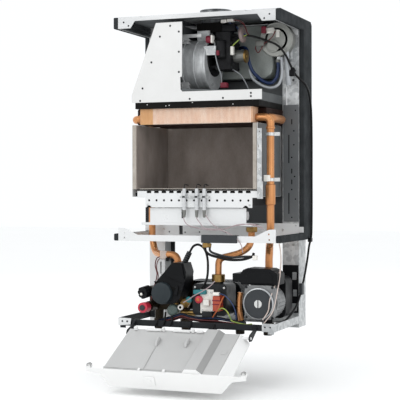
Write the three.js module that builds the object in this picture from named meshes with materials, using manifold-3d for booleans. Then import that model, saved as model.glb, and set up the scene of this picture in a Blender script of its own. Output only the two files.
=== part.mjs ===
// A wall-hung combi boiler with its casing taken off and its control box folded open.
// Millimetres. X to the right, Y towards the wall (the wall is Y = 0), Z up.
// The origin is on the wall, midway between the sides, on the lower wall rail.

import * as THREE from 'three';
import { mergeVertices } from 'three/addons/utils/BufferGeometryUtils.js';
import Module from 'manifold-3d';

const wasm = await Module();
wasm.setup();

// ---------------------------------------------------------------- driving dimensions

const GAP = 0.3; // clearance between pieces that touch
const SHEET = 1.5; // sheet-metal thickness
const REACH = 1; // how far a cutting shape runs past the face that it opens

const FRAME = { half: 188, depth: 240, top: 700, rearDepth: 65, foot: -10, railDepth: 12 };
const UPRIGHT = {
  flange: 40, slimFlange: 28.5, slimAbove: 285,
  slotFrom: 9, slotTo: 13, slotHalf: 14, slotHeights: [120, 330, 400, 470],
  holeInset: 26, hole: 3, holeHeights: [30, 181, 228, 560],
};
const GASKET = { thick: 12, topDrop: 26, midBottom: 192, midTop: 208, shoulder: 8 };
const TOP = {
  lip: 10, ear: 26, earInner: 157, earSlope: 146, hole: 2.2, holes: [[174, 688], [162, 679.5]],
  notches: [-125.5, 126], notchHalf: 7, notchDeep: 6, notchDrop: 2.2,
};
const RAIL = {
  half: 165, high: 40, web: 2, hangBottom: 640, lowBottom: -8, keyhole: 7, keyholes: [-110, 110],
};
const CROSS = {
  bottom: 196, top: 230, tab: 199, tabBottom: 209, tabTop: 222, slot: [-110, -101, 201, 222],
  hole: 2.2, holes: [[-136, 207], [-95, 206], [-58, 207], [9, 207], [180, 225]],
};
const MID = {
  bottom: 192, top: 206, ear: [[141, 206], [165, 218], [173, 221], [188, 222]], armTop: 208, shelf: 16,
  hole: 2, holes: [[172, 211], [173, 199]],
};
const FOOT = {
  top: 17, bottom: -1, inner: 156, tabBottom: -6, tab: [170, 184], toe: 14,
  hole: 2, holes: [[175, 9], [163, 9]],
};
const BAR = { front: -238.2, back: -210, bottom: 0, top: 14, half: 186.2 };

const FLUE = { x: 2, y: -112, inner: 32.5, outer: 36, flange: 46, bottom: 690, top: 722 };
const HOOD = {
  half: 147.5, front: -234, back: -45, bottom: 491, eave: 524, towerLeft: -97, towerRight: -56,
  top: 683, shoulder: 535,
};
const PLATE = {
  y: -235.8, left: -156, right: 155, bottom: 505, top: 527, towerRight: -32, towerTop: 683, hole: 1.5,
  holes: [
    [-61, 675], [-40, 661], [-86, 652], [-40, 616], [-107, 595], [-40, 570], [-129, 537], [-135, 509],
    [-15, 510], [65, 509],
  ],
};
const FAN = {
  y: -129, z: 595, radius: 58, left: -55.5, right: 3, wall: 2,
  axisZ: 612, wheel: 34, blades: 12, hub: 8, inlet: 28, shaft: 3, port: [-80, 606],
  neck: { x0: -29, x1: 2, y0: -152, y1: -92, top: 672 },
  hopper: { x0: -30, x1: 33, y0: -149, y1: -76, bottom: 668, top: 689.7 },
};
const MOTOR = {
  stack: [20, 54], half: 31, rise: 22, bush: 13, end: 84, disc: 44, pillar: 24, pillarRadius: 4,
  coil: { x: 31, inset: 3, radius: 12, low: -6, high: 34 },
};
const SWITCH = { x: 145, y: -90, z: 650, radius: 39, front: -102, back: -78 };
const VESSEL = { x0: -38, x1: 126, front: -68, back: -16, bottom: 566, top: 690, corner: 26 };

const CHAMBER = { left: -158, right: 143, front: -230, back: -36, bottom: 292, top: 454.7, sheet: 1.2 };
const LINING = { thick: 9.5, bottom: 309 };
const STAND_OFF = { places: [-110, 84], wide: 22, bottom: 330, top: 430 };
const CORE = {
  left: -140, right: 130, front: -226, back: -52, bottom: 455, top: 490.7,
  fins: 15, slot: 3, slotDepth: 26, tube: 9.5, tubeZ: 468, inside: 4,
};
const CORE_ENDS = {
  left: { x: -150, front: -218, back: -112, bend: 23, bendFront: -213, bendBack: -172 },
  right: { x: 150, front: -188, back: -66, bend: 30, bendFront: -172, bendBack: -78 },
};
const HOOK = {
  left: 143.3, right: 153.5, bottom: 288, top: 442, front: -232.5, back: -205, foot: 38, hole: 1.8,
  notchBottom: 400, notchTop: 406,
};
const BURNER = {
  blades: 14, pitch: 18.3, middle: 2, foot: 5.5, crest: 3, front: -222, back: -60, bottom: 272, top: 304,
  rail: 8,
};
const BURNER_PLATE = {
  y: -227.5, left: -126, right: 130, bottom: 268, top: 305, hookLeft: -146, hookRight: 141.7,
  hookBottom: 290, hole: 2.6, holeZ: 284, spacer: 6,
};
const MANIFOLD = {
  y: -221.5, left: -117, right: 114, bottom: 230, top: 267, lipLeft: -138, lipRight: 127, back: -120,
  rail: 10, railY: -200, railZ: 250, slot: [-40, -36, 244, 264], inletX: 112, inletY: -180, inlet: 11,
};
const ELECTRODES = { y: -232, body: 3, bottom: 262, top: 310, tip: 1.2, shelf: [-38, 31], shelfZ: 290.5 };
const ELECTRODE_PLACES = { electrode_left: -29, electrode_centre: 1, electrode_right: 19 };

const PIPE = { wide: 8.5, medium: 8, gas: 7.5 };
const GAS_NUT = { x: 33, y: -180, bottom: 100, top: 117, radius: 15 };
const GAS_VALVE = { x0: -22, x1: 60, front: -200, back: -140, bottom: 25, top: 96, corner: 9, boss: 12 };
const GAS_COIL = { x0: 34, x1: 52, bottom: 37, top: 72, front: -221, corner: 4 };
const PLATE_HX = { x0: -85, x1: 62, front: -110, back: -45, bottom: 28, top: 95, corner: 22 };
const DIVERTER = { x0: -100, x1: -56, front: -172, back: -110.3, bottom: 38, top: 120 };
const DIVERTER_ARM = { x: -146, front: -160, back: -136, drop: 8, rise: 46 };
const DIVERTER_BRACKET = { left: -182, right: -150, high: 34, linkRight: -140 };
const ACTUATOR = { front: -222, back: -175, cap: { x: -87, z: 74, radius: 22, front: -230 } };
const SPINDLE = { x: -78, z: 80, radius: 5, rod: 2.5, rodFront: -186, front: -168, back: -140 };
const PUMP = {
  x: 144, z: 58, face: 35, front: -228, back: -150, body: 38, wheel: 28, chamber: 32,
  neckX: 143, neckY: -137,
};
const PUMP_BODY = {
  x0: 106, x1: 182, back: -100, bottom: 20, top: 112, corner: 14, neck: 12, neckTop: 129, bore: 6.5,
  room: -124, suction: 10, suctionEnd: -104,
};
const PUMP_CARRIER = {
  left: 150, right: 187, bottom: 24, top: 134,
  windows: [[172, 183, 100, 118], [174, 184, 62, 78], [170, 184, 28, 46]],
};
const PUMP_WHEEL = { back: -146, front: -143, crown: 11, vanes: 6, shaft: 2.9, shaftFront: -212 };
const VENT = { radius: 9, front: -231, back: -221, slot: 1 };
const CONNECTIONS = { bottom: -22, outer: 10, bore: 7, y: -130 }; // pipe ends under the boiler
const CONNECTION_X = { flow: -134, hotWater: -67, gas: 0, coldWater: 67, heatingReturn: 134 };
const FILL_KNOB = {
  at: [-130, -202, 76], aim: [-0.3, -0.93, -0.15], radius: 14, long: 22, lobes: 8, stem: 4, boss: 6.8,
};
const SAFETY_KNOB = {
  x: -133, z: 40, radius: 12, recess: 5, front: -230, back: -206, stem: 4, stemEnd: -174,
};
const BAR_CLIP = { left: 16, right: 100, front: -244.5, bottom: 190.5, top: 208, hook: -230 };

// The control box is drawn in its own frame: y runs back to the hinge, z stands out of the cover.
const BOX = {
  hingeY: -281, hingeZ: -4.5, tilt: 26.6, pivotDrop: 8, left: -142, right: 137, long: 152, deep: 45,
  wall: 2.5, wing: 181, pin: 3, lug: 2.7, lugAir: 3, back: 5, hook: 10,
};
const COVER = { front: -148, back: 5, ribs: [-54, 15], rib: 1.2, ribFront: -57, ribBack: -33, ribTop: 3 };
const BOARD = {
  left: -131, right: 108, front: -142, back: -10, bottom: -21.6, top: -20,
  posts: [[-125, -16], [-125, -134], [100, -16], [100, -134]], post: 4,
};
const TRANSFORMER = { left: 60, right: 98, front: -70, back: -28, top: -8 };
const KNOB = {
  radius: 19, high: 14, shaft: 3, keeper: 6, y: -80, places: { heating_knob: -95, water_knob: 72 },
};
const BUTTON = {
  radius: 7, keeper: 9, y: -38, proud: 2.5, places: { mode_button: -32, reset_button: 8 },
};
const DISPLAY = { x0: -48, x1: 24, y0: -104, y1: -62, thick: 2, rim: 4 };

// ---------------------------------------------------------------- materials

const finish = (color, roughness, metalness) =>
  new THREE.MeshStandardMaterial({ color, roughness, metalness });

const whiteSteel = finish('#ececea', 0.45, 0.1);
const galvanised = finish('#a9aba9', 0.4, 0.8);
const darkSteel = finish('#3c3e40', 0.5, 0.5);
const aluminium = finish('#b9bcbd', 0.35, 0.9);
const copper = finish('#c77b45', 0.3, 1);
const brass = finish('#a98442', 0.35, 1);
const foam = finish('#2b2c2d', 0.95, 0);
const blackPlastic = finish('#232527', 0.5, 0);
const greyPlastic = finish('#c2c3c3', 0.5, 0);
const redPlastic = finish('#c8323c', 0.45, 0);
const bluePlastic = finish('#27447c', 0.4, 0);
const ceramicBoard = finish('#8f8a80', 0.95, 0);
const porcelain = finish('#f1efe9', 0.25, 0);
const coilVarnish = finish('#a84c28', 0.5, 0);
const boardGreen = finish('#2f6b45', 0.6, 0);
const clearPlastic = finish('#49545c', 0.1, 0);

// ---------------------------------------------------------------- solids from geometries

/** A closed three.js geometry as a solid that can be joined and cut. */
function solid(geometry) {
  const bare = geometry.clone();
  bare.deleteAttribute('normal');
  bare.deleteAttribute('uv');
  const merged = mergeVertices(bare, 1e-4);
  const index = merged.index.array;
  const kept = [];
  for (let i = 0; i < index.length; i += 3) {
    const [a, b, c] = [index[i], index[i + 1], index[i + 2]];
    if (a !== b && b !== c && c !== a) kept.push(a, b, c);
  }
  const vertProperties = new Float32Array(merged.attributes.position.array);
  const make = (triangles) =>
    new wasm.Manifold(new wasm.Mesh({ numProp: 3, vertProperties, triVerts: new Uint32Array(triangles) }));
  const result = make(kept);
  return result.volume() > 0 ? result : make(kept.reverse());
}

/** The geometry of a solid, flat shaded. */
function geometryOf(body) {
  const found = body.getMesh();
  const geometry = new THREE.BufferGeometry();
  geometry.setAttribute('position', new THREE.BufferAttribute(new Float32Array(found.vertProperties), 3));
  geometry.setIndex(new THREE.BufferAttribute(new Uint32Array(found.triVerts), 1));
  geometry.computeVertexNormals();
  return geometry;
}

const join = (...bodies) => bodies.reduce((whole, body) => whole.add(body));
const cut = (body, ...tools) => tools.reduce((left, tool) => left.subtract(tool), body);

/** A box between two opposite corners. */
function box(x0, x1, y0, y1, z0, z1) {
  const geometry = new THREE.BoxGeometry(x1 - x0, y1 - y0, z1 - z0);
  geometry.translate((x0 + x1) / 2, (y0 + y1) / 2, (z0 + z1) / 2);
  return solid(geometry);
}

const SIDES = [[3, 8], [6, 12], [13, 16], [24, 20], [45, 26], [Infinity, 32]]; // greatest radius, sides

/** How many sides a round bar of this radius is drawn with. */
const sidesFor = (radius) => SIDES.find(([greatest]) => radius <= greatest)[1];

/** A round bar along an axis ('x', 'y' or 'z') from one end to the other. */
function rod(axis, centre, from, to, radius, sides = sidesFor(radius)) {
  const geometry = new THREE.CylinderGeometry(radius, radius, Math.abs(to - from), sides);
  const middle = (from + to) / 2;
  if (axis === 'x') geometry.rotateZ(-Math.PI / 2).translate(middle, centre[0], centre[1]);
  if (axis === 'y') geometry.translate(centre[0], middle, centre[1]);
  if (axis === 'z') geometry.rotateX(Math.PI / 2).translate(centre[0], centre[1], middle);
  return solid(geometry);
}

/** The flat shape inside an outline of points. */
const polygon = (outline) => new THREE.Shape(outline.map(([u, v]) => new THREE.Vector2(u, v)));

/** A shape, or an outline of [x, z] points, thickened from y0 to y1. */
function frontal(outline, y0, y1) {
  const shape = outline instanceof THREE.Shape ? outline : polygon(outline);
  const settings = { depth: y1 - y0, bevelEnabled: false, curveSegments: 4 };
  const geometry = new THREE.ExtrudeGeometry(shape, settings);
  geometry.rotateX(Math.PI / 2).translate(0, y1, 0);
  return solid(geometry);
}

/** An outline of [y, z] points, thickened from x0 to x1. */
function sideways(outline, x0, x1) {
  const shape = polygon(outline);
  const geometry = new THREE.ExtrudeGeometry(shape, { depth: x1 - x0, bevelEnabled: false });
  geometry.rotateX(Math.PI / 2).rotateZ(Math.PI / 2).translate(x0, 0, 0);
  return solid(geometry);
}

/** A rectangle in the front view with rounded corners. */
function roundedRectangle(x0, x1, z0, z1, radius) {
  const shape = new THREE.Shape();
  shape.moveTo(x0 + radius, z0);
  shape.lineTo(x1 - radius, z0).absarc(x1 - radius, z0 + radius, radius, -Math.PI / 2, 0, false);
  shape.lineTo(x1, z1 - radius).absarc(x1 - radius, z1 - radius, radius, 0, Math.PI / 2, false);
  shape.lineTo(x0 + radius, z1).absarc(x0 + radius, z1 - radius, radius, Math.PI / 2, Math.PI, false);
  shape.lineTo(x0, z0 + radius).absarc(x0 + radius, z0 + radius, radius, Math.PI, 1.5 * Math.PI, false);
  return shape;
}

/** A closed profile of [radius, height] points, turned about a vertical axis at x, y. */
function turned(profile, x, y) {
  const sides = 28;
  const points = profile.map(([radius, height]) => new THREE.Vector2(radius, height));
  const geometry = new THREE.LatheGeometry(points, sides);
  geometry.rotateX(Math.PI / 2).translate(x, y, 0);
  return solid(geometry);
}

/** A path of straight runs whose corners are rounded over the given length. */
function bentPath(points, round) {
  const share = 0.45; // the most of a run that one of its corners may take
  const path = new THREE.CurvePath();
  const corners = points.map((point) => new THREE.Vector3(...point));
  let start = corners[0];
  for (let i = 1; i < corners.length - 1; i += 1) {
    const corner = corners[i];
    const [previous, next] = [corners[i - 1], corners[i + 1]];
    const shorter = Math.min(corner.distanceTo(previous), corner.distanceTo(next));
    const reach = Math.min(round, shorter * share);
    const before = corner.clone().add(previous.clone().sub(corner).setLength(reach));
    const after = corner.clone().add(next.clone().sub(corner).setLength(reach));
    path.add(new THREE.LineCurve3(start, before));
    path.add(new THREE.QuadraticBezierCurve3(before, corner, after));
    start = after;
  }
  path.add(new THREE.LineCurve3(start, corners[corners.length - 1]));
  return path;
}

/** A smooth curve through points. */
const smoothPath = (points) => new THREE.CatmullRomCurve3(points.map((point) => new THREE.Vector3(...point)));

/** A round bar that follows a path, with flat ends. */
function tube(path, radius, sides, steps) {
  const section = new THREE.Shape();
  for (let i = 0; i < sides; i += 1) {
    const angle = (2 * Math.PI * i) / sides;
    const corner = [radius * Math.cos(angle), radius * Math.sin(angle)];
    if (i === 0) section.moveTo(...corner);
    else section.lineTo(...corner);
  }
  return solid(new THREE.ExtrudeGeometry(section, { steps, bevelEnabled: false, extrudePath: path }));
}

// ---------------------------------------------------------------- the scene graph

const boiler = new THREE.Group();

/** Adds a named mesh of a solid to a group. */
function place(name, body, material, parent = boiler) {
  const mesh = new THREE.Mesh(geometryOf(body), material);
  mesh.name = name;
  parent.add(mesh);
  return mesh;
}

const mirrored = (points) => points.map(([x, z]) => [-x, z]);

/** A round hole through a sheet that faces forward, with its front face at y. */
const sheetHole = ([x, z], y, radius) => rod('y', [x, z], y - REACH, y + SHEET + REACH, radius);

// ---------------------------------------------------------------- frame and wall fixings

/** A sheet channel that stands at one side. The left one is slimmer beside the chamber. */
function upright(side) {
  const { half, rearDepth, foot, top, railDepth } = FRAME;
  const back = -railDepth - GAP;
  const inner = half - UPRIGHT.flange;
  const span = (a, b) => (side > 0 ? [a, b] : [-b, -a]);
  const web = box(...span(half - SHEET, half), -rearDepth, back, foot, top - SHEET - GAP);
  const front = box(...span(inner, half), -rearDepth, -rearDepth + SHEET, foot, top - SHEET - GAP);
  const rear = box(...span(inner, half), back - SHEET, back, foot, top - SHEET - GAP);
  const [before, behind] = [-rearDepth - REACH, -rearDepth + SHEET + REACH];
  const { slotFrom, slotTo, slotHalf, slotHeights, holeInset, hole, holeHeights } = UPRIGHT;
  const slots = slotHeights.map((z) =>
    box(...span(inner + slotFrom, inner + slotTo), before, behind, z - slotHalf, z + slotHalf));
  const holes = holeHeights.map((z) => sheetHole([side * (inner + holeInset), z], -rearDepth, hole));
  const whole = cut(join(web, front, rear), ...slots, ...holes);
  if (side > 0) return whole;
  const clear = half - UPRIGHT.slimFlange;
  return cut(whole, box(-clear, -inner + REACH, before, behind, UPRIGHT.slimAbove, top));
}

place('upright_left', upright(-1), whiteSteel);
place('upright_right', upright(1), galvanised);

/** A flanged rail that bears on the wall with its whole web. */
function rail(half, bottom) {
  const { high, web } = RAIL;
  const depth = FRAME.railDepth;
  return join(
    box(-half, half, -web, 0, bottom, bottom + high),
    box(-half, half, -depth, 0, bottom, bottom + web),
    box(-half, half, -depth, 0, bottom + high - web, bottom + high),
  );
}

const keyholes = RAIL.keyholes.map((x) =>
  rod('y', [x, RAIL.hangBottom + RAIL.high / 2], -RAIL.web - REACH, REACH, RAIL.keyhole));
place('hanging_rail', cut(rail(RAIL.half, RAIL.hangBottom), ...keyholes), galvanised);
place('lower_rail', rail(RAIL.half, RAIL.lowBottom), galvanised);

const rearFace = -FRAME.railDepth - GAP - SHEET - GAP;
const rearHalf = FRAME.half - SHEET - GAP;
const rearPanel = box(-rearHalf, rearHalf, rearFace - SHEET, rearFace, CROSS.bottom, FRAME.top - SHEET - GAP);
place('rear_panel', rearPanel, whiteSteel);

const crossFace = -FRAME.rearDepth - GAP;

/** The plate across the back at mid height, with a tab at each end. */
function crossPanel() {
  const { bottom, top, tab, tabBottom, tabTop, slot, hole, holes } = CROSS;
  const front = crossFace - SHEET;
  const plate = box(-FRAME.half, FRAME.half, front, crossFace, bottom, top);
  const tabs = box(-tab, tab, front, crossFace, tabBottom, tabTop);
  const [x0, x1, z0, z1] = slot;
  const opening = box(x0, x1, front - REACH, crossFace + REACH, z0, z1);
  return cut(join(plate, tabs), opening, ...holes.map((at) => sheetHole(at, front, hole)));
}

place('cross_panel', crossPanel(), galvanised);

/** The roof sheet: its front lip comes down into an ear at each corner. */
function topPanel() {
  const { half, depth, top, rearDepth } = FRAME;
  const earBottom = top - TOP.ear;
  const lipBottom = top - TOP.lip;
  const rightEdge = [[TOP.earSlope, lipBottom], [TOP.earInner, earBottom], [half, earBottom], [half, top]];
  const lip = frontal([...rightEdge, ...mirrored(rightEdge).reverse()], -depth, -depth + SHEET);
  const roof = box(-half, half, -depth, -FRAME.railDepth - GAP, top - SHEET, top);
  const cheeks = [-1, 1].map((side) => {
    const [a, b] = side > 0 ? [half - SHEET, half] : [-half, -half + SHEET];
    return box(a, b, -depth, -rearDepth - GAP, earBottom, top);
  });
  const holes = [...TOP.holes, ...mirrored(TOP.holes)].map((at) => sheetHole(at, -depth, TOP.hole));
  const { notchHalf, notchDeep, notchDrop } = TOP;
  const notches = TOP.notches.map((x) =>
    box(x - notchHalf, x + notchHalf, -depth - REACH, -depth + notchDeep, top - notchDrop, top + REACH));
  const flue = rod('z', [FLUE.x, FLUE.y], top - SHEET - REACH, top + REACH, FLUE.outer + 1);
  return cut(join(lip, roof, ...cheeks), ...holes, ...notches, flue);
}

place('top_panel', topPanel(), whiteSteel);

/** The front bar at mid height with its ears, and the two arms that carry it. */
function midFrame() {
  const { half, depth } = FRAME;
  const feet = [[half, MID.bottom], [-half, MID.bottom]];
  const face = frontal([...MID.ear, ...feet, ...mirrored(MID.ear).reverse()], -depth, -depth + SHEET);
  const shelf = box(-half, half, -depth, -depth + MID.shelf, MID.bottom, MID.bottom + SHEET);
  const arms = [-1, 1].map((side) => {
    const [a, b] = side > 0 ? [half - SHEET, half] : [-half, -half + SHEET];
    return box(a, b, -depth, crossFace - SHEET - GAP, MID.bottom, MID.armTop);
  });
  const holes = [...MID.holes, ...mirrored(MID.holes)].map((at) => sheetHole(at, -depth, MID.hole));
  return cut(join(face, shelf, ...arms), ...holes);
}

place('mid_frame', midFrame(), whiteSteel);

/** One of the two low arms, with its front ear and foot tab. */
function bottomArm(side) {
  const { half, depth } = FRAME;
  const span = (a, b) => (side > 0 ? [a, b] : [-b, -a]);
  const [low, high] = [FOOT.bottom + 1, FOOT.top];
  const arm = box(...span(half - SHEET, half), -depth, crossFace, low, high);
  const ear = box(...span(FOOT.inner, half), -depth, -depth + SHEET, FOOT.bottom, high);
  const tab = box(...span(...FOOT.tab), -depth, -depth + SHEET, FOOT.tabBottom, low);
  const toe = box(...span(half - FOOT.toe, half), crossFace - SHEET, crossFace, low, high);
  const holes = FOOT.holes.map(([x, z]) => sheetHole([side * x, z], -depth, FOOT.hole));
  return cut(join(arm, ear, tab, toe), ...holes);
}

place('bottom_arm_left', bottomArm(-1), darkSteel);
place('bottom_arm_right', bottomArm(1), galvanised);

const lugLeft = BOX.left - GAP - BOX.lugAir - BOX.lug;
const lugRight = BOX.right + BOX.lugAir + REACH;

/** The low cross bar, with the two lugs that the control box hangs from. */
function bottomBar() {
  const pivotY = BOX.hingeY + BOX.pivotDrop * Math.sin(THREE.MathUtils.degToRad(BOX.tilt));
  const pivotZ = BOX.hingeZ - BOX.pivotDrop * Math.cos(THREE.MathUtils.degToRad(BOX.tilt));
  const side = [
    [BAR.front + 1, BAR.top], [BAR.front + 1, BAR.bottom], [pivotY + 8, pivotZ - 7], [pivotY - 4, pivotZ - 7],
    [pivotY - 8, pivotZ], [pivotY - 4, pivotZ + 7], [pivotY + 18, pivotZ + 14],
  ];
  const lugs = [lugLeft, lugRight].map((x) => sideways(side, x, x + BOX.lug));
  const bores = rod('x', [pivotY, pivotZ], lugLeft - REACH, lugRight + BOX.lug + REACH, BOX.pin + GAP);
  const web = box(-BAR.half, BAR.half, BAR.front, BAR.front + SHEET, BAR.bottom, BAR.top);
  const flange = box(-BAR.half, BAR.half, BAR.front, BAR.back, BAR.bottom, BAR.bottom + SHEET);
  return cut(join(web, flange, ...lugs), bores);
}

place('bottom_bar', bottomBar(), darkSteel);

/** The foam strip of one side: along the roof, down the rear edge and forward at mid height. */
function gasket(side) {
  const { half, depth, top, rearDepth } = FRAME;
  const { thick, topDrop, midBottom, midTop, shoulder } = GASKET;
  const outline = [
    [-depth, top], [-shoulder, top], [0, top - shoulder], [0, midBottom], [-depth, midBottom],
    [-depth, midTop], [-rearDepth, midTop], [-rearDepth, top - topDrop], [-depth, top - topDrop],
  ];
  const inner = half + GAP;
  const outer = half + thick;
  return side > 0 ? sideways(outline, inner, outer) : sideways(outline, -outer, -inner);
}

place('gasket_left', gasket(-1), foam);
place('gasket_right', gasket(1), foam);

// ---------------------------------------------------------------- flue, hood and fan

const { inner: bore, outer: skin, flange: brim, bottom: under, top: rim } = FLUE;
const seat = FRAME.top + GAP;
const collar = [
  [bore, under], [skin, under], [skin, seat], [brim, seat], [brim, seat + 2], [skin, seat + 2],
  [skin, rim - 3], [skin + 1.5, rim - 2], [skin + 1.5, rim], [bore, rim], [bore, under],
];
place('flue_collar', turned(collar, FLUE.x, FLUE.y), aluminium);

/** The hood that gathers the burnt gas: a tray with a sloping roof and a tower, open below. */
function smokeHood() {
  const { half, front, back, bottom, eave, towerLeft, towerRight, top, shoulder } = HOOD;
  const outside = [
    [-half, bottom], [half, bottom], [half, eave], [towerRight, shoulder], [towerRight, top],
    [towerLeft, top], [-half, eave],
  ];
  const inner = half - SHEET;
  const inside = [
    [-inner, bottom - REACH], [inner, bottom - REACH], [inner, eave - SHEET],
    [towerRight - SHEET, shoulder - SHEET], [towerRight - SHEET, top - SHEET],
    [towerLeft + 1.1 * SHEET, top - SHEET], [-inner, eave - SHEET],
  ];
  const shell = cut(frontal(outside, front, back), frontal(inside, front + SHEET, back - SHEET));
  const inlet = rod('x', [FAN.y, FAN.axisZ], towerRight - 6, towerRight + 6, FAN.inlet);
  return cut(shell, inlet);
}

place('smoke_hood', smokeHood(), darkSteel);

/** The white L-shaped front of the hood, with its screw holes. */
function hoodFrontPlate() {
  const { y, left, right, bottom, top, towerRight, towerTop } = PLATE;
  const outline = [
    [left, bottom], [right, bottom], [right, top], [towerRight, top], [towerRight - 4, top + 5],
    [towerRight - 5, 560], [towerRight - 1, 560], [towerRight, towerTop], [-96, towerTop], [left, 523],
  ];
  return cut(frontal(outline, y, y + SHEET), ...PLATE.holes.map((at) => sheetHole(at, y, PLATE.hole)));
}

place('hood_front_plate', hoodFrontPlate(), whiteSteel);

/** The fan casing: a drum with its eye on the hood side and its outlet neck going up. */
function fanVolute() {
  const { y, z, radius, left, right, wall, inlet, neck, hopper, axisZ, shaft } = FAN;
  const drum = rod('x', [y, z], left, right, radius);
  const chimney = box(neck.x0, neck.x1, neck.y0, neck.y1, z, neck.top);
  const funnel = box(hopper.x0, hopper.x1, hopper.y0, hopper.y1, hopper.bottom, hopper.top);
  const port = rod('x', FAN.port, right - 1, right + 9, 4);
  const room = rod('x', [y, z], left + wall, right - wall, radius - wall);
  const duct = box(neck.x0 + wall, neck.x1 - wall, neck.y0 + wall, hopper.y1 - 18, z, neck.top + 1);
  const mouth = box(
    hopper.x0 + wall, hopper.x1 - wall, hopper.y0 + wall, hopper.y1 - wall,
    hopper.bottom + wall, hopper.top + REACH,
  );
  const eye = rod('x', [y, axisZ], left - 1, left + wall + 1, inlet);
  const shaftHole = rod('x', [y, axisZ], right - wall - 1, right + 1, shaft + 2);
  const tap = rod('x', FAN.port, right - wall - 1, right + 10, 2);
  return cut(join(drum, chimney, funnel, port), room, duct, mouth, eye, shaftHole, tap);
}

place('fan_volute', fanVolute(), aluminium);

/** The fan motor on the drum: its base disc, iron stack, coil and end bush. */
function fanMotor() {
  const { y, axisZ, right, shaft } = FAN;
  const { half, rise, pillar, pillarRadius, coil: winding } = MOTOR;
  const base = rod('x', [y, axisZ], right + GAP, right + 3, MOTOR.disc);
  const corners = [-pillar, pillar].flatMap((dy) => [[y + dy, axisZ - pillar], [y + dy, axisZ + pillar]]);
  const pillars = corners.map((at) => rod('x', at, right + 2, MOTOR.stack[0] + 1, pillarRadius));
  const stack = box(...MOTOR.stack, y - half, y + half, axisZ - half, axisZ + half + rise);
  const coilAt = [winding.x, y - half - winding.inset];
  const coil = rod('z', coilAt, axisZ + winding.low, axisZ + winding.high, winding.radius);
  const bush = rod('x', [y, axisZ], MOTOR.stack[1] - 1, MOTOR.end, MOTOR.bush);
  const shaftHole = rod('x', [y, axisZ], right, MOTOR.end - 6, shaft + GAP);
  return cut(join(base, ...pillars, stack, coil, bush), shaftHole);
}

place('fan_motor', fanMotor(), blackPlastic);

/** The fan wheel: a back plate, straight blades, a hub and the shaft. */
function fanImpeller() {
  const { y, axisZ, left, right, wheel, shaft, blades, hub: hubRadius } = FAN;
  const plate = rod('x', [y, axisZ], right - 12, right - 10, wheel);
  const hub = rod('x', [y, axisZ], right - 30, right - 4, hubRadius);
  const axle = rod('x', [y, axisZ], right - 30, MOTOR.end - 10, shaft);
  const bladeWide = 14;
  const [bladeLeft, bladeRight] = [left + 10, right - 11];
  const ring = [];
  for (let i = 0; i < blades; i += 1) {
    const blade = new THREE.BoxGeometry(bladeRight - bladeLeft, 1.6, bladeWide);
    blade.translate((bladeRight + bladeLeft) / 2, 0, wheel - bladeWide / 2 - 0.5);
    blade.rotateX((2 * Math.PI * i) / blades).translate(0, y, axisZ);
    ring.push(solid(blade));
  }
  return join(plate, hub, axle, ...ring);
}

place('fan_impeller', fanImpeller(), galvanised);

/** The air pressure switch: a flat round box with a step, a nipple below and its bracket. */
function pressureSwitch() {
  const { x, z, radius, front, back } = SWITCH;
  const lower = rod('y', [x, z], front + 8, back, radius);
  const upper = rod('y', [x, z], front, front + 9, radius - 5);
  const boss = rod('y', [x - 8, z - 13], front - 6, front + 1, 15);
  const nipple = rod('z', [x, SWITCH.y], z - radius - 6, z - radius + 6, 3);
  const bracket = box(x + 10, x + 30, back - 1, -FRAME.rearDepth - GAP, z - 22, z + 26);
  return join(lower, upper, boss, nipple, bracket);
}

place('pressure_switch', pressureSwitch(), greyPlastic);

const HOSE_ROUTE = [
  [12.8, -80, 606], [24, -80, 607], [38, -82, 626], [56, -88, 637], [73, -102, 631], [80, -108, 606],
  [90, -105, 579], [111, -100, 558], [129, -95, 552], [142, -92, 564], [146, -90, 585], [145, -90, 604.6],
];
place('switch_hose', tube(smoothPath(HOSE_ROUTE), 4, 8, 26), bluePlastic);

const CABLE_ROUTE = [
  [54.5, -144, 652], [64, -144, 653], [80, -147, 656], [100, -150, 655], [132, -148, 645], [157, -128, 633],
  [171, -112, 612], [179, -100, 589], [185, -84, 571], [194, -78, 560], [204, -71, 549], [206, -52, 536],
  [205, -34, 518], [205, -24, 490], [205, -20, 430], [205, -20, 340], [205, -20, 250], [204.5, -22, 200],
  [201, -27, 178], [198.5, -32, 150], [196, -42, 118], [193.5, -56, 88], [191, -74, 60], [189, -100, 38],
  [179, -146, 14], [163, -196, 8], [158, -236.4, 7],
];
place('fan_cable', tube(smoothPath(CABLE_ROUTE), 2.6, 8, 54), blackPlastic);

const vessel = roundedRectangle(VESSEL.x0, VESSEL.x1, VESSEL.bottom, VESSEL.top, VESSEL.corner);
place('expansion_vessel', frontal(vessel, VESSEL.front, rearFace - SHEET - GAP), darkSteel);

// ---------------------------------------------------------------- heat exchanger and chamber

/** The finned copper block with its end bends, brazed in one piece. */
function heatExchanger() {
  const { left, right, front, back, bottom, top, fins, slot, slotDepth, tube: radius, tubeZ, inside } = CORE;
  const block = box(left, right, front, back, bottom, top);
  const pitch = (right - left) / fins;
  const slots = [];
  for (let i = 1; i < fins; i += 1) {
    const x = left + i * pitch;
    slots.push(box(x - slot / 2, x + slot / 2, front - 1, front + slotDepth, bottom - 1, top + 1));
  }
  const bend = (x, reach, { bendFront, bendBack }) => {
    const far = x + reach;
    const corners = [[x, bendFront], [far, bendFront], [far, bendBack], [x, bendBack]];
    return tube(bentPath(corners.map(([u, v]) => [u, v, tubeZ]), 16), radius, 10, 10);
  };
  const { left: leftEnd, right: rightEnd } = CORE_ENDS;
  const leftBend = bend(left + inside, -leftEnd.bend, leftEnd);
  const rightBend = bend(right - inside, rightEnd.bend, rightEnd);
  const leftHeader = box(leftEnd.x, left + 1, leftEnd.front, leftEnd.back, bottom, top);
  const rightHeader = box(right - 1, rightEnd.x, rightEnd.front, rightEnd.back, bottom, top);
  return join(cut(block, ...slots), leftHeader, rightHeader, leftBend, rightBend);
}

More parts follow.
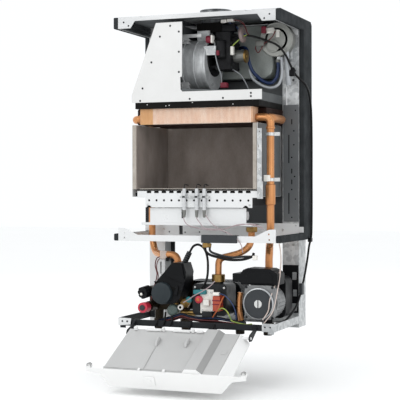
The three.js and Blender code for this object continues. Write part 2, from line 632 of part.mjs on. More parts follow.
place('heat_exchanger', heatExchanger(), copper);

/** A wall on the left, back and right of the chamber, as one bent piece. */
function chamberWall(left, right, back, thick, bottom) {
  const { front, top } = CHAMBER;
  return join(
    box(left, left + thick, front, back, bottom, top),
    box(right - thick, right, front, back, bottom, top),
    box(left, right, back - thick, back, bottom, top),
  );
}

const { left: boxLeft, right: boxRight, back: boxBack, sheet: casing } = CHAMBER;
const standOffs = STAND_OFF.places.map((x) =>
  box(x, x + STAND_OFF.wide, boxBack - casing / 2, rearFace - SHEET - GAP, STAND_OFF.bottom, STAND_OFF.top));
const casingWall = chamberWall(boxLeft, boxRight, boxBack, casing, CHAMBER.bottom);
place('chamber_casing', join(casingWall, ...standOffs), galvanised);

const inset = casing + GAP;
const lining = chamberWall(boxLeft + inset, boxRight - inset, boxBack - inset, LINING.thick, LINING.bottom);
place('chamber_lining', lining, ceramicBoard);

/** The tall hook strip at the front right corner of the chamber. */
function hookBracket() {
  const { left, right, bottom, top, front, back } = HOOK;
  const strip = box(left, right, front, front + SHEET, bottom, top);
  const foot = box(left, right + 2.5, front, front + SHEET, bottom, bottom + HOOK.foot);
  const flange = box(left, left + SHEET, front, back, bottom + 20, top);
  const hole = sheetHole([(left + right) / 2, top - 7], front, HOOK.hole);
  const notchBack = front + SHEET + 0.5;
  const notch = box(left - REACH, left + 4, front - REACH, notchBack, HOOK.notchBottom, HOOK.notchTop);
  return cut(join(strip, foot, flange), hole, notch);
}

place('hook_bracket', hookBracket(), whiteSteel);

// ---------------------------------------------------------------- burner and gas train

const bladeNumbers = [...Array(BURNER.blades).keys()];

/** The middle of a burner blade, counted from zero at the left. */
const bladeX = (i) => BURNER.middle + (i - (BURNER.blades - 1) / 2) * BURNER.pitch;

/** The burner: a row of blades on two cross rails. */
function burner() {
  const { foot, crest, front, back, bottom, top, rail: thick } = BURNER;
  const row = bladeNumbers.map(bladeX).map((x) =>
    frontal([[x - foot, bottom], [x + foot, bottom], [x + crest, top], [x - crest, top]], front, back));
  const [railLeft, railRight] = [CHAMBER.left + inset, CHAMBER.right - inset];
  const railBottom = CHAMBER.bottom + 1;
  const rails = [front + 4, back - 4 - thick].map((y) =>
    box(railLeft, railRight, y, y + thick, railBottom, railBottom + thick));
  return join(...row, ...rails);
}

place('burner', burner(), galvanised);

/** The white plate in front of the burner, with a hole before each blade and a hook at each end. */
function burnerFrontPlate() {
  const { y, left, right, bottom, top, hookLeft, hookRight, hookBottom, hole, holeZ, spacer } = BURNER_PLATE;
  const outline = [
    [left, bottom], [right, bottom], [right, hookBottom], [hookRight, hookBottom], [hookRight, top],
    [hookLeft, top], [hookLeft, hookBottom], [left, hookBottom],
  ];
  const holes = bladeNumbers.map((i) => sheetHole([bladeX(i), holeZ], y, hole));
  const [spacerBottom, spacerTop] = [bottom + 4, bottom + 12];
  const spacers = [left + spacer, right - 2 * spacer].map((x) =>
    box(x, x + spacer, y + SHEET - 0.5, BURNER.front - GAP, spacerBottom, spacerTop));
  return cut(join(frontal(outline, y, y + SHEET), ...spacers), ...holes);
}

place('burner_front_plate', burnerFrontPlate(), whiteSteel);

/** The gas rail behind its white front, in a tray that hangs under the burner. */
function gasManifold() {
  const { y, left, right, bottom, top, lipLeft, lipRight, back, railY, railZ } = MANIFOLD;
  const face = box(left, right, y, y + SHEET, bottom - 1, top);
  const [slotLeft, slotRight, slotBottom, slotTop] = MANIFOLD.slot;
  const slot = box(slotLeft, slotRight, y - REACH, y + SHEET + REACH, slotBottom, slotTop);
  const tray = box(lipLeft, lipRight, y - 1, back, bottom - 2, bottom - 2 + SHEET);
  const lip = box(lipLeft, lipRight, y - 1, y + SHEET - 1, bottom - 2, bottom + 4);
  const gasRail = rod('x', [railY, railZ], left + 4, right - 4, MANIFOLD.rail);
  const posts = [1, BURNER.blades - 2].map(bladeX).map((x) =>
    box(x - 3, x + 3, -216, -204, bottom - 1, BURNER.bottom - GAP));
  const boss = rod('z', [MANIFOLD.inletX, MANIFOLD.inletY], bottom - 7, bottom - 1, MANIFOLD.inlet);
  return cut(join(face, tray, lip, gasRail, ...posts, boss), slot);
}

place('gas_manifold', gasManifold(), whiteSteel);

const { y: rodY, body: rodRadius, shelf, shelfZ } = ELECTRODES;
const shelfBody = box(...shelf, rodY - 5, BURNER_PLATE.y - GAP, shelfZ, shelfZ + 2.5);
const shelfHoles = Object.values(ELECTRODE_PLACES).map((x) =>
  rod('z', [x, rodY], shelfZ - REACH, shelfZ + 4, rodRadius + GAP));
place('electrode_bracket', cut(shelfBody, ...shelfHoles), galvanised);

/** A ceramic electrode whose wire tip bends back over the blades. */
function electrode(x) {
  const { y, body, bottom, top, tip } = ELECTRODES;
  const ceramic = rod('z', [x, y], bottom, top, body);
  const collarRing = rod('z', [x, y], ELECTRODES.shelfZ + 3, ELECTRODES.shelfZ + 8, body + 1.2);
  const wire = tube(bentPath([[x, y, top - 2], [x, y, top + 6], [x, y + 26, top + 9]], 5), tip, 6, 7);
  return join(ceramic, collarRing, wire);
}

for (const [name, x] of Object.entries(ELECTRODE_PLACES)) place(name, electrode(x), porcelain);

const GAS_ROUTE = [
  [112, -180, 222.6], [112, -180, 196], [100, -180, 174], [52, -180, 157], [33, -180, 146], [33, -180, 96.6],
];
place('gas_pipe', tube(bentPath(GAS_ROUTE, 18), PIPE.gas, 10, 14), copper);

const nutSolid = rod('z', [GAS_NUT.x, GAS_NUT.y], GAS_NUT.bottom, GAS_NUT.top, GAS_NUT.radius);
const nutBore = rod('z', [GAS_NUT.x, GAS_NUT.y], GAS_NUT.bottom - 1, GAS_NUT.top + 1, PIPE.gas + GAP);
place('gas_nut', cut(nutSolid, nutBore), brass);

/** A round pipe end that points down from the given height. */
const stub = (x, from) => rod('z', [x, CONNECTIONS.y], CONNECTIONS.bottom, from, CONNECTIONS.outer);

/** The bore of a pipe end, cut from below. */
const stubBore = (x, depth) => {
  const { y, bottom, bore: radius } = CONNECTIONS;
  return rod('z', [x, y], bottom - REACH, bottom + depth, radius);
};

/** The gas valve: its block, the boss under the nut, the foot on the low bar and the gas inlet. */
function gasValve() {
  const { x0, x1, front, back, bottom, top } = GAS_VALVE;
  const block = frontal(roundedRectangle(x0, x1, bottom, top, GAS_VALVE.corner), front, back);
  const boss = rod('z', [GAS_NUT.x, GAS_NUT.y], top - 2, GAS_NUT.bottom - GAP, GAS_VALVE.boss);
  const socket = rod('z', [GAS_NUT.x, GAS_NUT.y], top, GAS_NUT.bottom, PIPE.gas + GAP);
  const foot = box(6, 30, -214, front + 4, BAR.bottom + SHEET + GAP, bottom + 10);
  const inlet = stub(CONNECTION_X.gas, bottom + 6);
  const arm = box(-10, 10, back - 2, CONNECTIONS.y + 8, bottom, bottom + 20);
  return cut(join(block, boss, foot, arm, inlet), socket, stubBore(CONNECTION_X.gas, 30));
}

place('gas_valve', gasValve(), aluminium);

const coilShape = roundedRectangle(GAS_COIL.x0, GAS_COIL.x1, GAS_COIL.bottom, GAS_COIL.top, GAS_COIL.corner);
place('gas_coil', frontal(coilShape, GAS_COIL.front, GAS_VALVE.front - GAP), coilVarnish);

// ---------------------------------------------------------------- water side

const FLOW_ROUTE = [
  [CORE.right + GAP, -200, CORE.tubeZ], [163, -200, CORE.tubeZ], [163, -200, 236], [158, -188, 200],
  [144, -152, 172], [143, -150, 129.4],
];
const FLOW_SLEEVE = { at: [163, -200], bottom: 274, top: 320, radius: 11 };
const sleeve = rod('z', FLOW_SLEEVE.at, FLOW_SLEEVE.bottom, FLOW_SLEEVE.top, FLOW_SLEEVE.radius);
place('flow_pipe', join(tube(bentPath(FLOW_ROUTE, 24), PIPE.wide, 10, 24), sleeve), copper);

const RETURN_ROUTE = [
  [CORE.left - GAP, -95, CORE.tubeZ], [-168, -95, CORE.tubeZ], [-168, -95, 186], [-152, -112, 162],
  [-120, -148, 157], [-90, -150, 157], [-78, -150, 143], [-78, -150, DIVERTER.top + GAP],
];
place('return_pipe', tube(bentPath(RETURN_ROUTE, 20), PIPE.medium, 10, 30), copper);

const plates = roundedRectangle(PLATE_HX.x0, PLATE_HX.x1, PLATE_HX.bottom, PLATE_HX.top, PLATE_HX.corner);
place('plate_exchanger', frontal(plates, PLATE_HX.front, PLATE_HX.back), blackPlastic);

const fillAxis = new THREE.Vector3(...FILL_KNOB.aim).normalize();
const fillTurn = new THREE.Quaternion().setFromUnitVectors(new THREE.Vector3(0, 0, 1), fillAxis);
const fillAt = new THREE.Vector3(...FILL_KNOB.at);
const fillAim = new THREE.Matrix4().compose(fillAt, fillTurn, new THREE.Vector3(1, 1, 1));

/** A round bar on the axis of the filling knob, whose zero is the foot of the knob. */
function aimedRod(from, to, radius) {
  const geometry = new THREE.CylinderGeometry(radius, radius, to - from, sidesFor(radius));
  geometry.rotateX(Math.PI / 2).translate(0, 0, (from + to) / 2).applyMatrix4(fillAim);
  return solid(geometry);
}

/** The left water block: the diverter valve, the two tap bosses, its bracket and two pipe ends. */
function diverterBlock() {
  const { x0, x1, front, back, bottom, top } = DIVERTER;
  const body = box(x0, x1, front, back, bottom, top - 14);
  const neck = rod('z', [-78, -150], top - 20, top, 12);
  const seatBoss = rod('y', [SPINDLE.x, SPINDLE.z], ACTUATOR.back + GAP, front + 4, 15);
  const { x: armX, front: armFront, back: armBack, drop, rise } = DIVERTER_ARM;
  const arm = box(armX, x0 + 4, armFront, armBack, bottom - drop, bottom + rise);
  const fillBoss = aimedRod(-52, -1, FILL_KNOB.boss);
  const safetyBoss = rod('y', [SAFETY_KNOB.x, SAFETY_KNOB.z], -196, -150, SAFETY_KNOB.radius);
  const { left, right, high, linkRight } = DIVERTER_BRACKET;
  const bracket = box(left, right, crossFace - 4, crossFace, bottom, bottom + high);
  const link = box(right - 4, linkRight, armBack - 4, crossFace, bottom + 4, bottom + 26);
  const ends = [CONNECTION_X.flow, CONNECTION_X.hotWater].map((x) => stub(x, bottom + 6));
  const bores = [CONNECTION_X.flow, CONNECTION_X.hotWater].map((x) => stubBore(x, 40));
  const spindleHole = rod('y', [SPINDLE.x, SPINDLE.z], ACTUATOR.back, SPINDLE.back + 8, SPINDLE.radius + GAP);
  const fillHole = aimedRod(-20, 0, FILL_KNOB.stem + GAP);
  const safetyHole = rod('y', [SAFETY_KNOB.x, SAFETY_KNOB.z], -197, -172, SAFETY_KNOB.stem + GAP);
  const whole = join(body, neck, seatBoss, arm, fillBoss, safetyBoss, bracket, link, ...ends);
  return cut(whole, spindleHole, fillHole, safetyHole, ...bores);
}

place('diverter_block', diverterBlock(), brass);

const spindle = join(
  rod('y', [SPINDLE.x, SPINDLE.z], SPINDLE.front, SPINDLE.back, SPINDLE.radius),
  rod('y', [SPINDLE.x, SPINDLE.z], SPINDLE.rodFront, SPINDLE.front + 1, SPINDLE.rod),
);
place('diverter_spindle', spindle, galvanised);

/** The black motor housing of the diverter valve, leaning to the right, with its round cap. */
function diverterActuator() {
  const { front, back, cap } = ACTUATOR;
  const outline = [
    [-64, 143], [-36, 143], [-29, 122], [-32, 100], [-45, 62], [-62, 50], [-87, 49], [-104, 57], [-112, 74],
    [-107, 90], [-99, 104], [-83, 121],
  ];
  const housing = frontal(outline, front, back);
  const lid = rod('y', [cap.x, cap.z], cap.front, front + 1, cap.radius);
  const boot = tube(bentPath([[-44, -198, 138], [-38, -198, 150], [-31, -198, 164]], 4), 6, 12, 8);
  const spindleHole = rod('y', [SPINDLE.x, SPINDLE.z], back - 14, back + REACH, SPINDLE.rod + 0.7);
  return cut(join(housing, lid, boot), spindleHole);
}

place('diverter_actuator', diverterActuator(), blackPlastic);

/** The black pump body: chamber, outlet neck, inlet, cold-water arm and the plate that carries it. */
function pumpHousing() {
  const { x, z, back, chamber, neckX, neckY } = PUMP;
  const { x0, x1, bottom, top, corner, neckTop } = PUMP_BODY;
  const body = frontal(roundedRectangle(x0, x1, bottom, top, corner), back + GAP, PUMP_BODY.back);
  const neck = rod('z', [neckX, neckY], top - 12, neckTop, PUMP_BODY.neck);
  const room = rod('y', [x, z], back - REACH, PUMP_BODY.room, chamber);
  const suction = rod('y', [x, z], PUMP_BODY.room - 2, PUMP_BODY.suctionEnd, PUMP_BODY.suction);
  const outlet = rod('z', [neckX, neckY], z + 20, neckTop + REACH, PUMP_BODY.bore);
  const { left, right, windows } = PUMP_CARRIER;
  const plate = box(left, right, crossFace - 4, crossFace, PUMP_CARRIER.bottom, PUMP_CARRIER.top);
  const openings = windows.map(([wx0, wx1, wz0, wz1]) =>
    box(wx0, wx1, crossFace - 4 - REACH, crossFace + REACH, wz0, wz1));
  const carrier = cut(plate, ...openings);
  const link = box(152, 168, PUMP_BODY.back - 2, crossFace - 2, 60, 96);
  const coldArm = box(56, x0 + 8, -139, -119, bottom + 2, bottom + 24);
  const ends = [CONNECTION_X.coldWater, CONNECTION_X.heatingReturn].map((at) => stub(at, bottom + 8));
  const bores = [CONNECTION_X.coldWater, CONNECTION_X.heatingReturn].map((at) => stubBore(at, 36));
  return cut(join(body, neck, carrier, link, coldArm, ...ends), room, suction, outlet, ...bores);
}

place('pump_housing', pumpHousing(), blackPlastic);

/** The pump motor: a squared front casting, the round stator and the face with its vent hole. */
function pumpMotor() {
  const { x, z, face, front, back, body } = PUMP;
  const casting = frontal(roundedRectangle(x - 33, x + 35, z - 34, z + 40, 12), front + 4, front + 24);
  const stator = rod('y', [x, z], front + 20, back, body);
  const dial = rod('y', [x, z], front, front + 6, face);
  const shaftHole = rod('y', [x, z], front + 10, back + 1, 3.3);
  const ventHole = rod('y', [x, z], front - 1, VENT.back + GAP, VENT.radius + GAP);
  return cut(join(casting, stator, dial), shaftHole, ventHole);
}

place('pump_motor', pumpMotor(), aluminium);

/** The terminal box over the pump motor, with its small side box. */
function pumpTerminalBox() {
  const outline = [
    [79, 104], [98, 104], [98, 98.3], [184, 98.3], [184, 123], [176, 129], [166, 134], [114, 135],
    [104, 131], [98, 123], [79, 123],
  ];
  return frontal(outline, -216, -163);
}

place('pump_terminal_box', pumpTerminalBox(), blackPlastic);

/** The pump wheel and its shaft. */
function pumpImpeller() {
  const { x, z, wheel } = PUMP;
  const { back, front, crown: crownRadius, vanes, shaft: shaftRadius, shaftFront } = PUMP_WHEEL;
  const disc = rod('y', [x, z], back, front, wheel);
  const crown = rod('y', [x, z], front - 1, front + 13, crownRadius);
  const shaft = rod('y', [x, z], shaftFront, back + 1, shaftRadius);
  const ring = [];
  for (let i = 0; i < vanes; i += 1) {
    const vane = new THREE.BoxGeometry(2, 12, wheel - 10);
    vane.translate(0, 0, (wheel + 8) / 2).rotateY((2 * Math.PI * i) / vanes).translate(x, front + 5, z);
    ring.push(solid(vane));
  }
  return join(disc, crown, shaft, ...ring);
}

place('pump_impeller', pumpImpeller(), blackPlastic);

const ventHead = rod('y', [PUMP.x, PUMP.z], VENT.front, VENT.back, VENT.radius);
const [slotLow, slotHigh] = [PUMP.z - VENT.radius, PUMP.z + VENT.radius];
const ventSlot = box(
  PUMP.x - VENT.slot, PUMP.x + VENT.slot, VENT.front - REACH, VENT.front + 2, slotLow, slotHigh,
);
place('pump_vent_screw', cut(ventHead, ventSlot), aluminium);

/** The lobed filling knob, drawn along its own axis and then aimed forward and to the left. */
function fillKnob() {
  const { radius, long, lobes } = FILL_KNOB;
  const grips = [];
  for (let i = 0; i < lobes; i += 1) {
    const angle = (2 * Math.PI * i) / lobes;
    grips.push(rod('z', [radius * Math.cos(angle), radius * Math.sin(angle)], -2, long + 2, 2));
  }
  const head = cut(rod('z', [0, 0], 0, long, radius), ...grips);
  return join(head, rod('z', [0, 0], long - 1, long + 3, 4), rod('z', [0, 0], -18, 1, FILL_KNOB.stem));
}

place('fill_knob', fillKnob(), blackPlastic).applyMatrix4(fillAim);

/** The round knob of the safety tap, recessed in front, on its stem. */
function safetyKnob() {
  const { x, z, radius, recess, front, back, stem, stemEnd } = SAFETY_KNOB;
  const head = rod('y', [x, z], front, back, radius);
  const hollow = rod('y', [x, z], front - REACH, front + 4, recess);
  return join(cut(head, hollow), rod('y', [x, z], back - 1, stemEnd, stem));
}

place('safety_knob', safetyKnob(), redPlastic);

/** The dark clip over the mid bar, with a lip that hooks over its edge. */
function barClip() {
  const { left, right, front, bottom, top, hook } = BAR_CLIP;
  const face = box(left, right, front, -FRAME.depth - GAP, bottom, top);
  const lip = box(left, right, front, hook, MID.top + GAP, top);
  return join(face, lip);
}

place('bar_clip', barClip(), darkSteel);

// ---------------------------------------------------------------- control box

const controlBox = new THREE.Group();
controlBox.position.set(0, BOX.hingeY, BOX.hingeZ);
controlBox.rotation.x = THREE.MathUtils.degToRad(BOX.tilt);
boiler.add(controlBox);

/** The inner cover: a sheet with a raised channel along its right half. */
function controlCover() {
  const skinLine = [[BOX.left, 0], [39, 0], [46, 8], [72, 8], [84, -1.5], [118.5, -1.5]];
  const underside = skinLine.map(([x, z]) => [x, z - BOX.wall]).reverse();
  const sheet = frontal([...skinLine, ...underside], COVER.front, COVER.back);
  const { rib, ribFront, ribBack, ribTop } = COVER;
  const ribs = COVER.ribs.map((x) => box(x - rib, x + rib, ribFront, ribBack, -1, ribTop));
  return join(sheet, ...ribs);
}

place('control_cover', controlCover(), greyPlastic, controlBox);

/** The outer shell: a tray with side walls, wings with hooks, hinge pins and the openings of its face. */
function controlFascia() {
  const { left, right, long, deep, wall, wing, pin, pivotDrop, lug, back, hook } = BOX;
  const outside = [
    [left, -2.8], [left, -28], [left + 8, -deep], [121, -deep], [right, -28], [right, -24], [122.5, -1.5],
  ];
  const inside = [
    [left + wall, 5], [left + wall, -27.5], [left + 9.5, -deep + wall], [120, -deep + wall],
    [right - wall, -27], [right - wall, -24.7], [119, -1], [119, 5],
  ];
  const front = -long;
  const tray = cut(frontal(outside, front, back), frontal(inside, front + wall, back - wall));
  const trim = box(left - REACH, right + REACH, back - wall - REACH, back + REACH, -4.5, 10);
  const face = [
    [-wing, 0], [wing, 0], [wing, -8], [150, -14], [right, -26], [121, -deep], [left + 8, -deep],
    [left, -28], [-150, -14], [-wing, -8],
  ];
  const wings = frontal(face, front, front + wall);
  const hooks = [-1, 1].map((side) => {
    const [a, b] = side > 0 ? [wing - hook, wing] : [-wing, -wing + hook];
    return box(a, b, front, front + 12, -3, 3);
  });
  const pivots = [
    rod('x', [0, -pivotDrop], lugLeft - 1, left + 1, pin),
    rod('x', [0, -pivotDrop], 124, lugRight + lug + 1, pin),
  ];
  const postTop = BOARD.bottom - GAP;
  const posts = BOARD.posts.map((at) => rod('z', at, -deep + 1, postTop, BOARD.post));
  const [outer, inner] = [-deep - REACH, -deep + wall + REACH];
  const { x0, x1, y0, y1 } = DISPLAY;
  const openings = [
    ...Object.values(KNOB.places).map((x) => rod('z', [x, KNOB.y], outer, inner, KNOB.shaft + GAP)),
    ...Object.values(BUTTON.places).map((x) => rod('z', [x, BUTTON.y], outer, inner, BUTTON.radius + GAP)),
    box(x0 - GAP, x1 + GAP, y0 - GAP, y1 + GAP, outer, inner),
  ];
  return cut(join(cut(tray, trim), wings, ...hooks, ...pivots, ...posts), ...openings);
}

place('control_fascia', controlFascia(), greyPlastic, controlBox);

const boardBody = box(BOARD.left, BOARD.right, BOARD.front, BOARD.back, BOARD.bottom, BOARD.top);
const { left: coreLeft, right: coreRight, front: coreFront, back: coreBack, top: coreTop } = TRANSFORMER;
const transformer = box(coreLeft, coreRight, coreFront, coreBack, BOARD.top - 1, coreTop);
place('control_board', join(boardBody, transformer), boardGreen, controlBox);

/** The pane of the display, with a rim that holds it behind its opening. */
function displayWindow() {
  const { x0, x1, y0, y1, thick, rim: edge } = DISPLAY;
  const seatZ = -BOX.deep + BOX.wall + GAP;
  const pane = box(x0, x1, y0, y1, -BOX.deep + 0.4, seatZ + 1.2);
  const border = box(x0 - edge, x1 + edge, y0 - edge, y1 + edge, seatZ, seatZ + thick);
  return join(pane, border);
}

place('display_window', displayWindow(), clearPlastic, controlBox);

const fasciaInside = -BOX.deep + BOX.wall;

/** A dial of the fascia: its cap with a pointer groove, its stem and the ring that keeps it in. */
function dial(x) {
  const { radius, high, shaft, y, keeper } = KNOB;
  const outer = -BOX.deep - GAP;
  const cap = rod('z', [x, y], outer - high, outer, radius);
  const pointer = box(x - 1, x + 1, y, y + radius + REACH, outer - high - REACH, outer - high + 2);
  const stem = rod('z', [x, y], outer - 1, -28, shaft);
  const ring = rod('z', [x, y], fasciaInside + 1, fasciaInside + 3, keeper);
  return join(cut(cap, pointer), stem, ring);
}

/** A key of the fascia, with the collar that keeps it in. */
function key(x) {
  const { radius, y, proud, keeper } = BUTTON;
  const head = rod('z', [x, y], -BOX.deep - proud, -BOX.deep + 6, radius);
  const ring = rod('z', [x, y], fasciaInside + GAP, -BOX.deep + 5, keeper);
  return join(head, ring);
}

for (const [name, x] of Object.entries(KNOB.places)) place(name, dial(x), greyPlastic, controlBox);
for (const [name, x] of Object.entries(BUTTON.places)) place(name, key(x), greyPlastic, controlBox);

export default boiler;
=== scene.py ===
"""Visual model of a wall-hung combi boiler that is seen with its casing off."""
import logging
import math
from dataclasses import dataclass
from enum import Enum
from typing import Any, Sequence

import bmesh
import bpy
from mathutils import Matrix, Vector


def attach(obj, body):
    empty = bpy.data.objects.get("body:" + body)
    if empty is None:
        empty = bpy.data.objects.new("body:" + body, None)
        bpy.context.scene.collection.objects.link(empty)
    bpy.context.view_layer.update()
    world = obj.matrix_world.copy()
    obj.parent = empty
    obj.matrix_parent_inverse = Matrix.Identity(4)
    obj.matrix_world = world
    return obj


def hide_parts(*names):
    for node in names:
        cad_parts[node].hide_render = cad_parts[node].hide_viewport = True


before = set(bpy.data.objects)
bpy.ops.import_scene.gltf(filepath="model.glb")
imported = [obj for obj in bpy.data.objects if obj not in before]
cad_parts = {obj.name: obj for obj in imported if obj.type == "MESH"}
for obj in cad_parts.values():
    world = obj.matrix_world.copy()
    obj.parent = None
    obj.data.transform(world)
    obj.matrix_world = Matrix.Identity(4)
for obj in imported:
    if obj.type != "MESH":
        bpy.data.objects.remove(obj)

MM = 0.001
BODY = "boiler"
LOG = logging.getLogger("boiler")
# Helpers' fixed values: angles in degrees, lengths in millimetres.
FOLD_ANGLE = 50.0
FLAT_ANGLE = 0.6
WELD_GAP = 0.004
ROUND_STEPS = 2
WIRE_SIDES = 8
WIRE_STEPS = 7
SEED = 7
FREE_TURN = 1.5
# Where a finish's two noises begin and end to show, how fine they are, and how much the finer one counts.
PATCH_BAND = {"From Min": 0.3, "From Max": 0.7}
SKIN_BAND = {"From Min": 0.35, "From Max": 0.75}
PATCH_NOISE = {"Detail": 5.0, "Roughness": 0.6}
SKIN_NOISE = {"Detail": 3.0, "Roughness": 0.55}
SKIN_SHARE = 0.45
BUMP_STRENGTH = 0.7
SMOOTHEST = 0.03

Point = Sequence[float]


# ---------------------------------------------------------------- materials

def linear(code: str) -> tuple[float, float, float, float]:
    """Turns an sRGB colour code into linear light.

    Args:
        code: Six hexadecimal digits after a hash.

    Returns:
        Red, green, blue and an alpha of one, as a shader socket takes them.
    """
    channels = (int(code[i:i + 2], 16) / 255 for i in (1, 3, 5))
    red, green, blue = (c / 12.92 if c <= 0.04045 else ((c + 0.055) / 1.055) ** 2.4 for c in channels)
    return red, green, blue, 1.0


def add_node(tree: bpy.types.NodeTree, kind: str, inputs: dict[Any, Any] | None = None,
        **settings: Any) -> bpy.types.Node:
    """Adds one node with its settings and links.

    Args:
        tree: The node tree that takes the node.
        kind: Blender's name of the node's type.
        inputs: A value or an output socket for each input, by its name or number.
        settings: The node's own properties.

    Returns:
        The new node.
    """
    node = tree.nodes.new(kind)
    for key, value in settings.items():
        setattr(node, key, value)
    for key, value in (inputs or {}).items():
        if isinstance(value, bpy.types.NodeSocket):
            tree.links.new(value, node.inputs[key])
        else:
            node.inputs[key].default_value = value
    return node


class Pattern(Enum):
    """How a surface breaks up the light."""

    SPANGLE = "flat crystals, each with its own shade"
    CELLS = "small pits between thin walls"
    MOTTLE = "soft patches with a fine skin over them"


@dataclass(frozen=True)
class Finish:
    """One material, with the sizes of its pattern in millimetres; some finishes also carry painted shade,
    sheen or reflection.
    """

    name: str
    slot: str
    base: str
    tone: str
    metal: float = 0.0
    rough: float = 0.5
    spread: float = 0.1
    patch: float = 60.0
    detail: float = 1.2
    bump: float = 0.04
    contrast: float = 0.35
    stretch: tuple[float, float, float] = (1.0, 1.0, 1.0)
    coat: float = 0.0
    gloss: float = 0.5
    pattern: Pattern = Pattern.MOTTLE

    def material(self) -> bpy.types.Material:
        """Builds the node material once, and gives the same one each time after.

        Returns:
            The procedural material of this finish.
        """
        known = bpy.data.materials.get(self.name)
        if known:
            return known
        made = bpy.data.materials.new(self.name)
        made.use_nodes = True
        tree = made.node_tree
        tree.nodes.clear()
        where = add_node(tree, "ShaderNodeTexCoord").outputs["Object"]
        where = add_node(tree, "ShaderNodeMapping", {"Vector": where, "Scale": self.stretch}).outputs[0]
        patches = add_node(tree, "ShaderNodeTexNoise", {"Vector": where, "Scale": 1 / (self.patch * MM),
            **PATCH_NOISE})
        skin = add_node(tree, "ShaderNodeTexNoise", {"Vector": where, "Scale": 1 / (self.detail * MM),
            **SKIN_NOISE})
        relief, shade = skin.outputs[0], patches.outputs[0]
        if self.pattern is not Pattern.MOTTLE:
            cells = add_node(tree, "ShaderNodeTexVoronoi", {"Vector": where, "Scale": 1 / (self.detail * MM),
                "Randomness": 1.0})
            if self.pattern is Pattern.SPANGLE:
                shade = add_node(tree, "ShaderNodeSeparateColor", {0: cells.outputs["Color"]}).outputs[0]
            else:
                relief = cells.outputs["Distance"]
        soft = add_node(tree, "ShaderNodeMapRange", {"Value": shade, **PATCH_BAND,
            "To Max": self.contrast}).outputs[0]
        fine = add_node(tree, "ShaderNodeMapRange", {"Value": relief, **SKIN_BAND,
            "To Max": self.contrast * SKIN_SHARE}).outputs[0]
        colour = add_node(tree, "ShaderNodeMix", {0: soft, 6: linear(self.base), 7: linear(self.tone)},
            data_type="RGBA").outputs[2]
        colour = add_node(tree, "ShaderNodeMix", {0: fine, 6: colour, 7: linear(self.tone)},
            data_type="RGBA").outputs[2]
        rough = add_node(tree, "ShaderNodeMapRange", {"Value": patches.outputs[0], **PATCH_BAND,
            "To Min": max(self.rough - self.spread, SMOOTHEST), "To Max": min(self.rough + self.spread, 1.0)})
        lift = add_node(tree, "ShaderNodeBump", {"Height": relief, "Distance": self.bump * MM,
            "Strength": BUMP_STRENGTH})
        surface = add_node(tree, "ShaderNodeBsdfPrincipled",
            {"Base Color": colour, "Roughness": rough.outputs[0], "Metallic": self.metal,
            "Coat Weight": self.coat, "Specular IOR Level": self.gloss, "Normal": lift.outputs[0]})
        add_node(tree, "ShaderNodeOutputMaterial", {"Surface": surface.outputs[0]})
        return made


# Zinc crystals nearly a centimetre wide: pale grey sheet that is never one even shade.
ZINC = Finish("galvanised_steel", "galvanised", "#c9cbcb", "#84878a", 0.45, 0.4, patch=90, detail=9,
    contrast=0.5, bump=0.01, pattern=Pattern.SPANGLE)
# Enamelled sheets that stand in the light and look almost white, with a satin skin.
WHITE_SHEET = Finish("white_enamelled_steel", "white_enamel", "#dcdddd", "#c6c7c8", 0.1, 0.36, patch=120,
    detail=0.8, contrast=0.25, bump=0.01, coat=0.2)
# Rolled sheet of the roof and of the fan's brackets, with long drawn lines.
BRIGHT_SHEET = Finish("rolled_bright_steel", "galvanised", "#c8c9c9", "#8f9193", 0.3, 0.34, patch=26,
    detail=1.0, contrast=0.35, stretch=(0.15, 1.0, 1.0), bump=0.02)
# Dull dark steel of the low bar, the left arm and small rails, with a dusty bloom.
DARK_STEEL = Finish("dark_coated_steel", "dark_steel", "#2b2d2f", "#151718", 0.2, 0.5, patch=40, contrast=0.5,
    gloss=0.2)
# Aluminised steel of the hood, warm and slightly stained by heat.
HOOD_SHEET = Finish("aluminised_steel", "galvanised", "#d6d6d5", "#c3c2bf", 0.2, 0.42, patch=90, detail=2,
    contrast=0.4, bump=0.015)
# Die-cast or pressed aluminium with a fine grain that catches small lights.
ALUMINIUM = Finish("cast_aluminium", "aluminium", "#c3c5c7", "#5f6265", 0.85, 0.34, patch=30, detail=0.9,
    contrast=0.45, bump=0.05)
# Copper tube: orange with pale rubbed lengths and brown oxide in patches.
COPPER = Finish("tarnished_copper", "copper", "#d39662", "#95552f", 0.7, 0.3, patch=60, detail=2.5,
    contrast=0.35, bump=0.01)
# The exchanger's fin edges: copper painted almost white, partly a painted sheen of the white light on the
# edges, drawn into fine upright lines.
FIN_COPPER = Finish("copper_fins_painted_sheen", "copper", "#fff4e8", "#dca981", 0.0, 0.42, patch=7, detail=1.6,
    contrast=0.5, stretch=(1.0, 1.0, 0.12), bump=0.03)
# Brass nuts and bodies, dulled to olive brown with yellow corners.
BRASS = Finish("dulled_brass", "brass", "#a5854e", "#5a4527", 0.85, 0.34, patch=14, contrast=0.5)
# Closed-cell black foam: matt, with pits and a grey bloom where it is cut.
FOAM = Finish("black_cell_foam", "foam", "#3c3f41", "#191b1c", 0.0, 0.92, patch=30, detail=1.6, contrast=0.6,
    bump=0.5, gloss=0.1, pattern=Pattern.CELLS)
# Black moulded plastic with a faint orange-peel skin.
BLACK_PLASTIC = Finish("black_moulded_plastic", "black_plastic", "#131416", "#08090a", 0.0, 0.4, patch=45,
    detail=0.7, contrast=0.4, bump=0.02, gloss=0.11)
# Light grey moulded plastic of the control box, evenly matt.
GREY_PLASTIC = Finish("grey_moulded_plastic", "grey_plastic", "#bdbdbc", "#aeaead", 0.0, 0.5, patch=140,
    detail=0.6, contrast=0.3, bump=0.012)
# Mid grey plastic of small knobs, caps and clips.
CAP_PLASTIC = Finish("grey_cap_plastic", "grey_plastic", "#373a3d", "#25282a", 0.0, 0.45, patch=25,
    detail=0.6, contrast=0.35, bump=0.02, gloss=0.25)
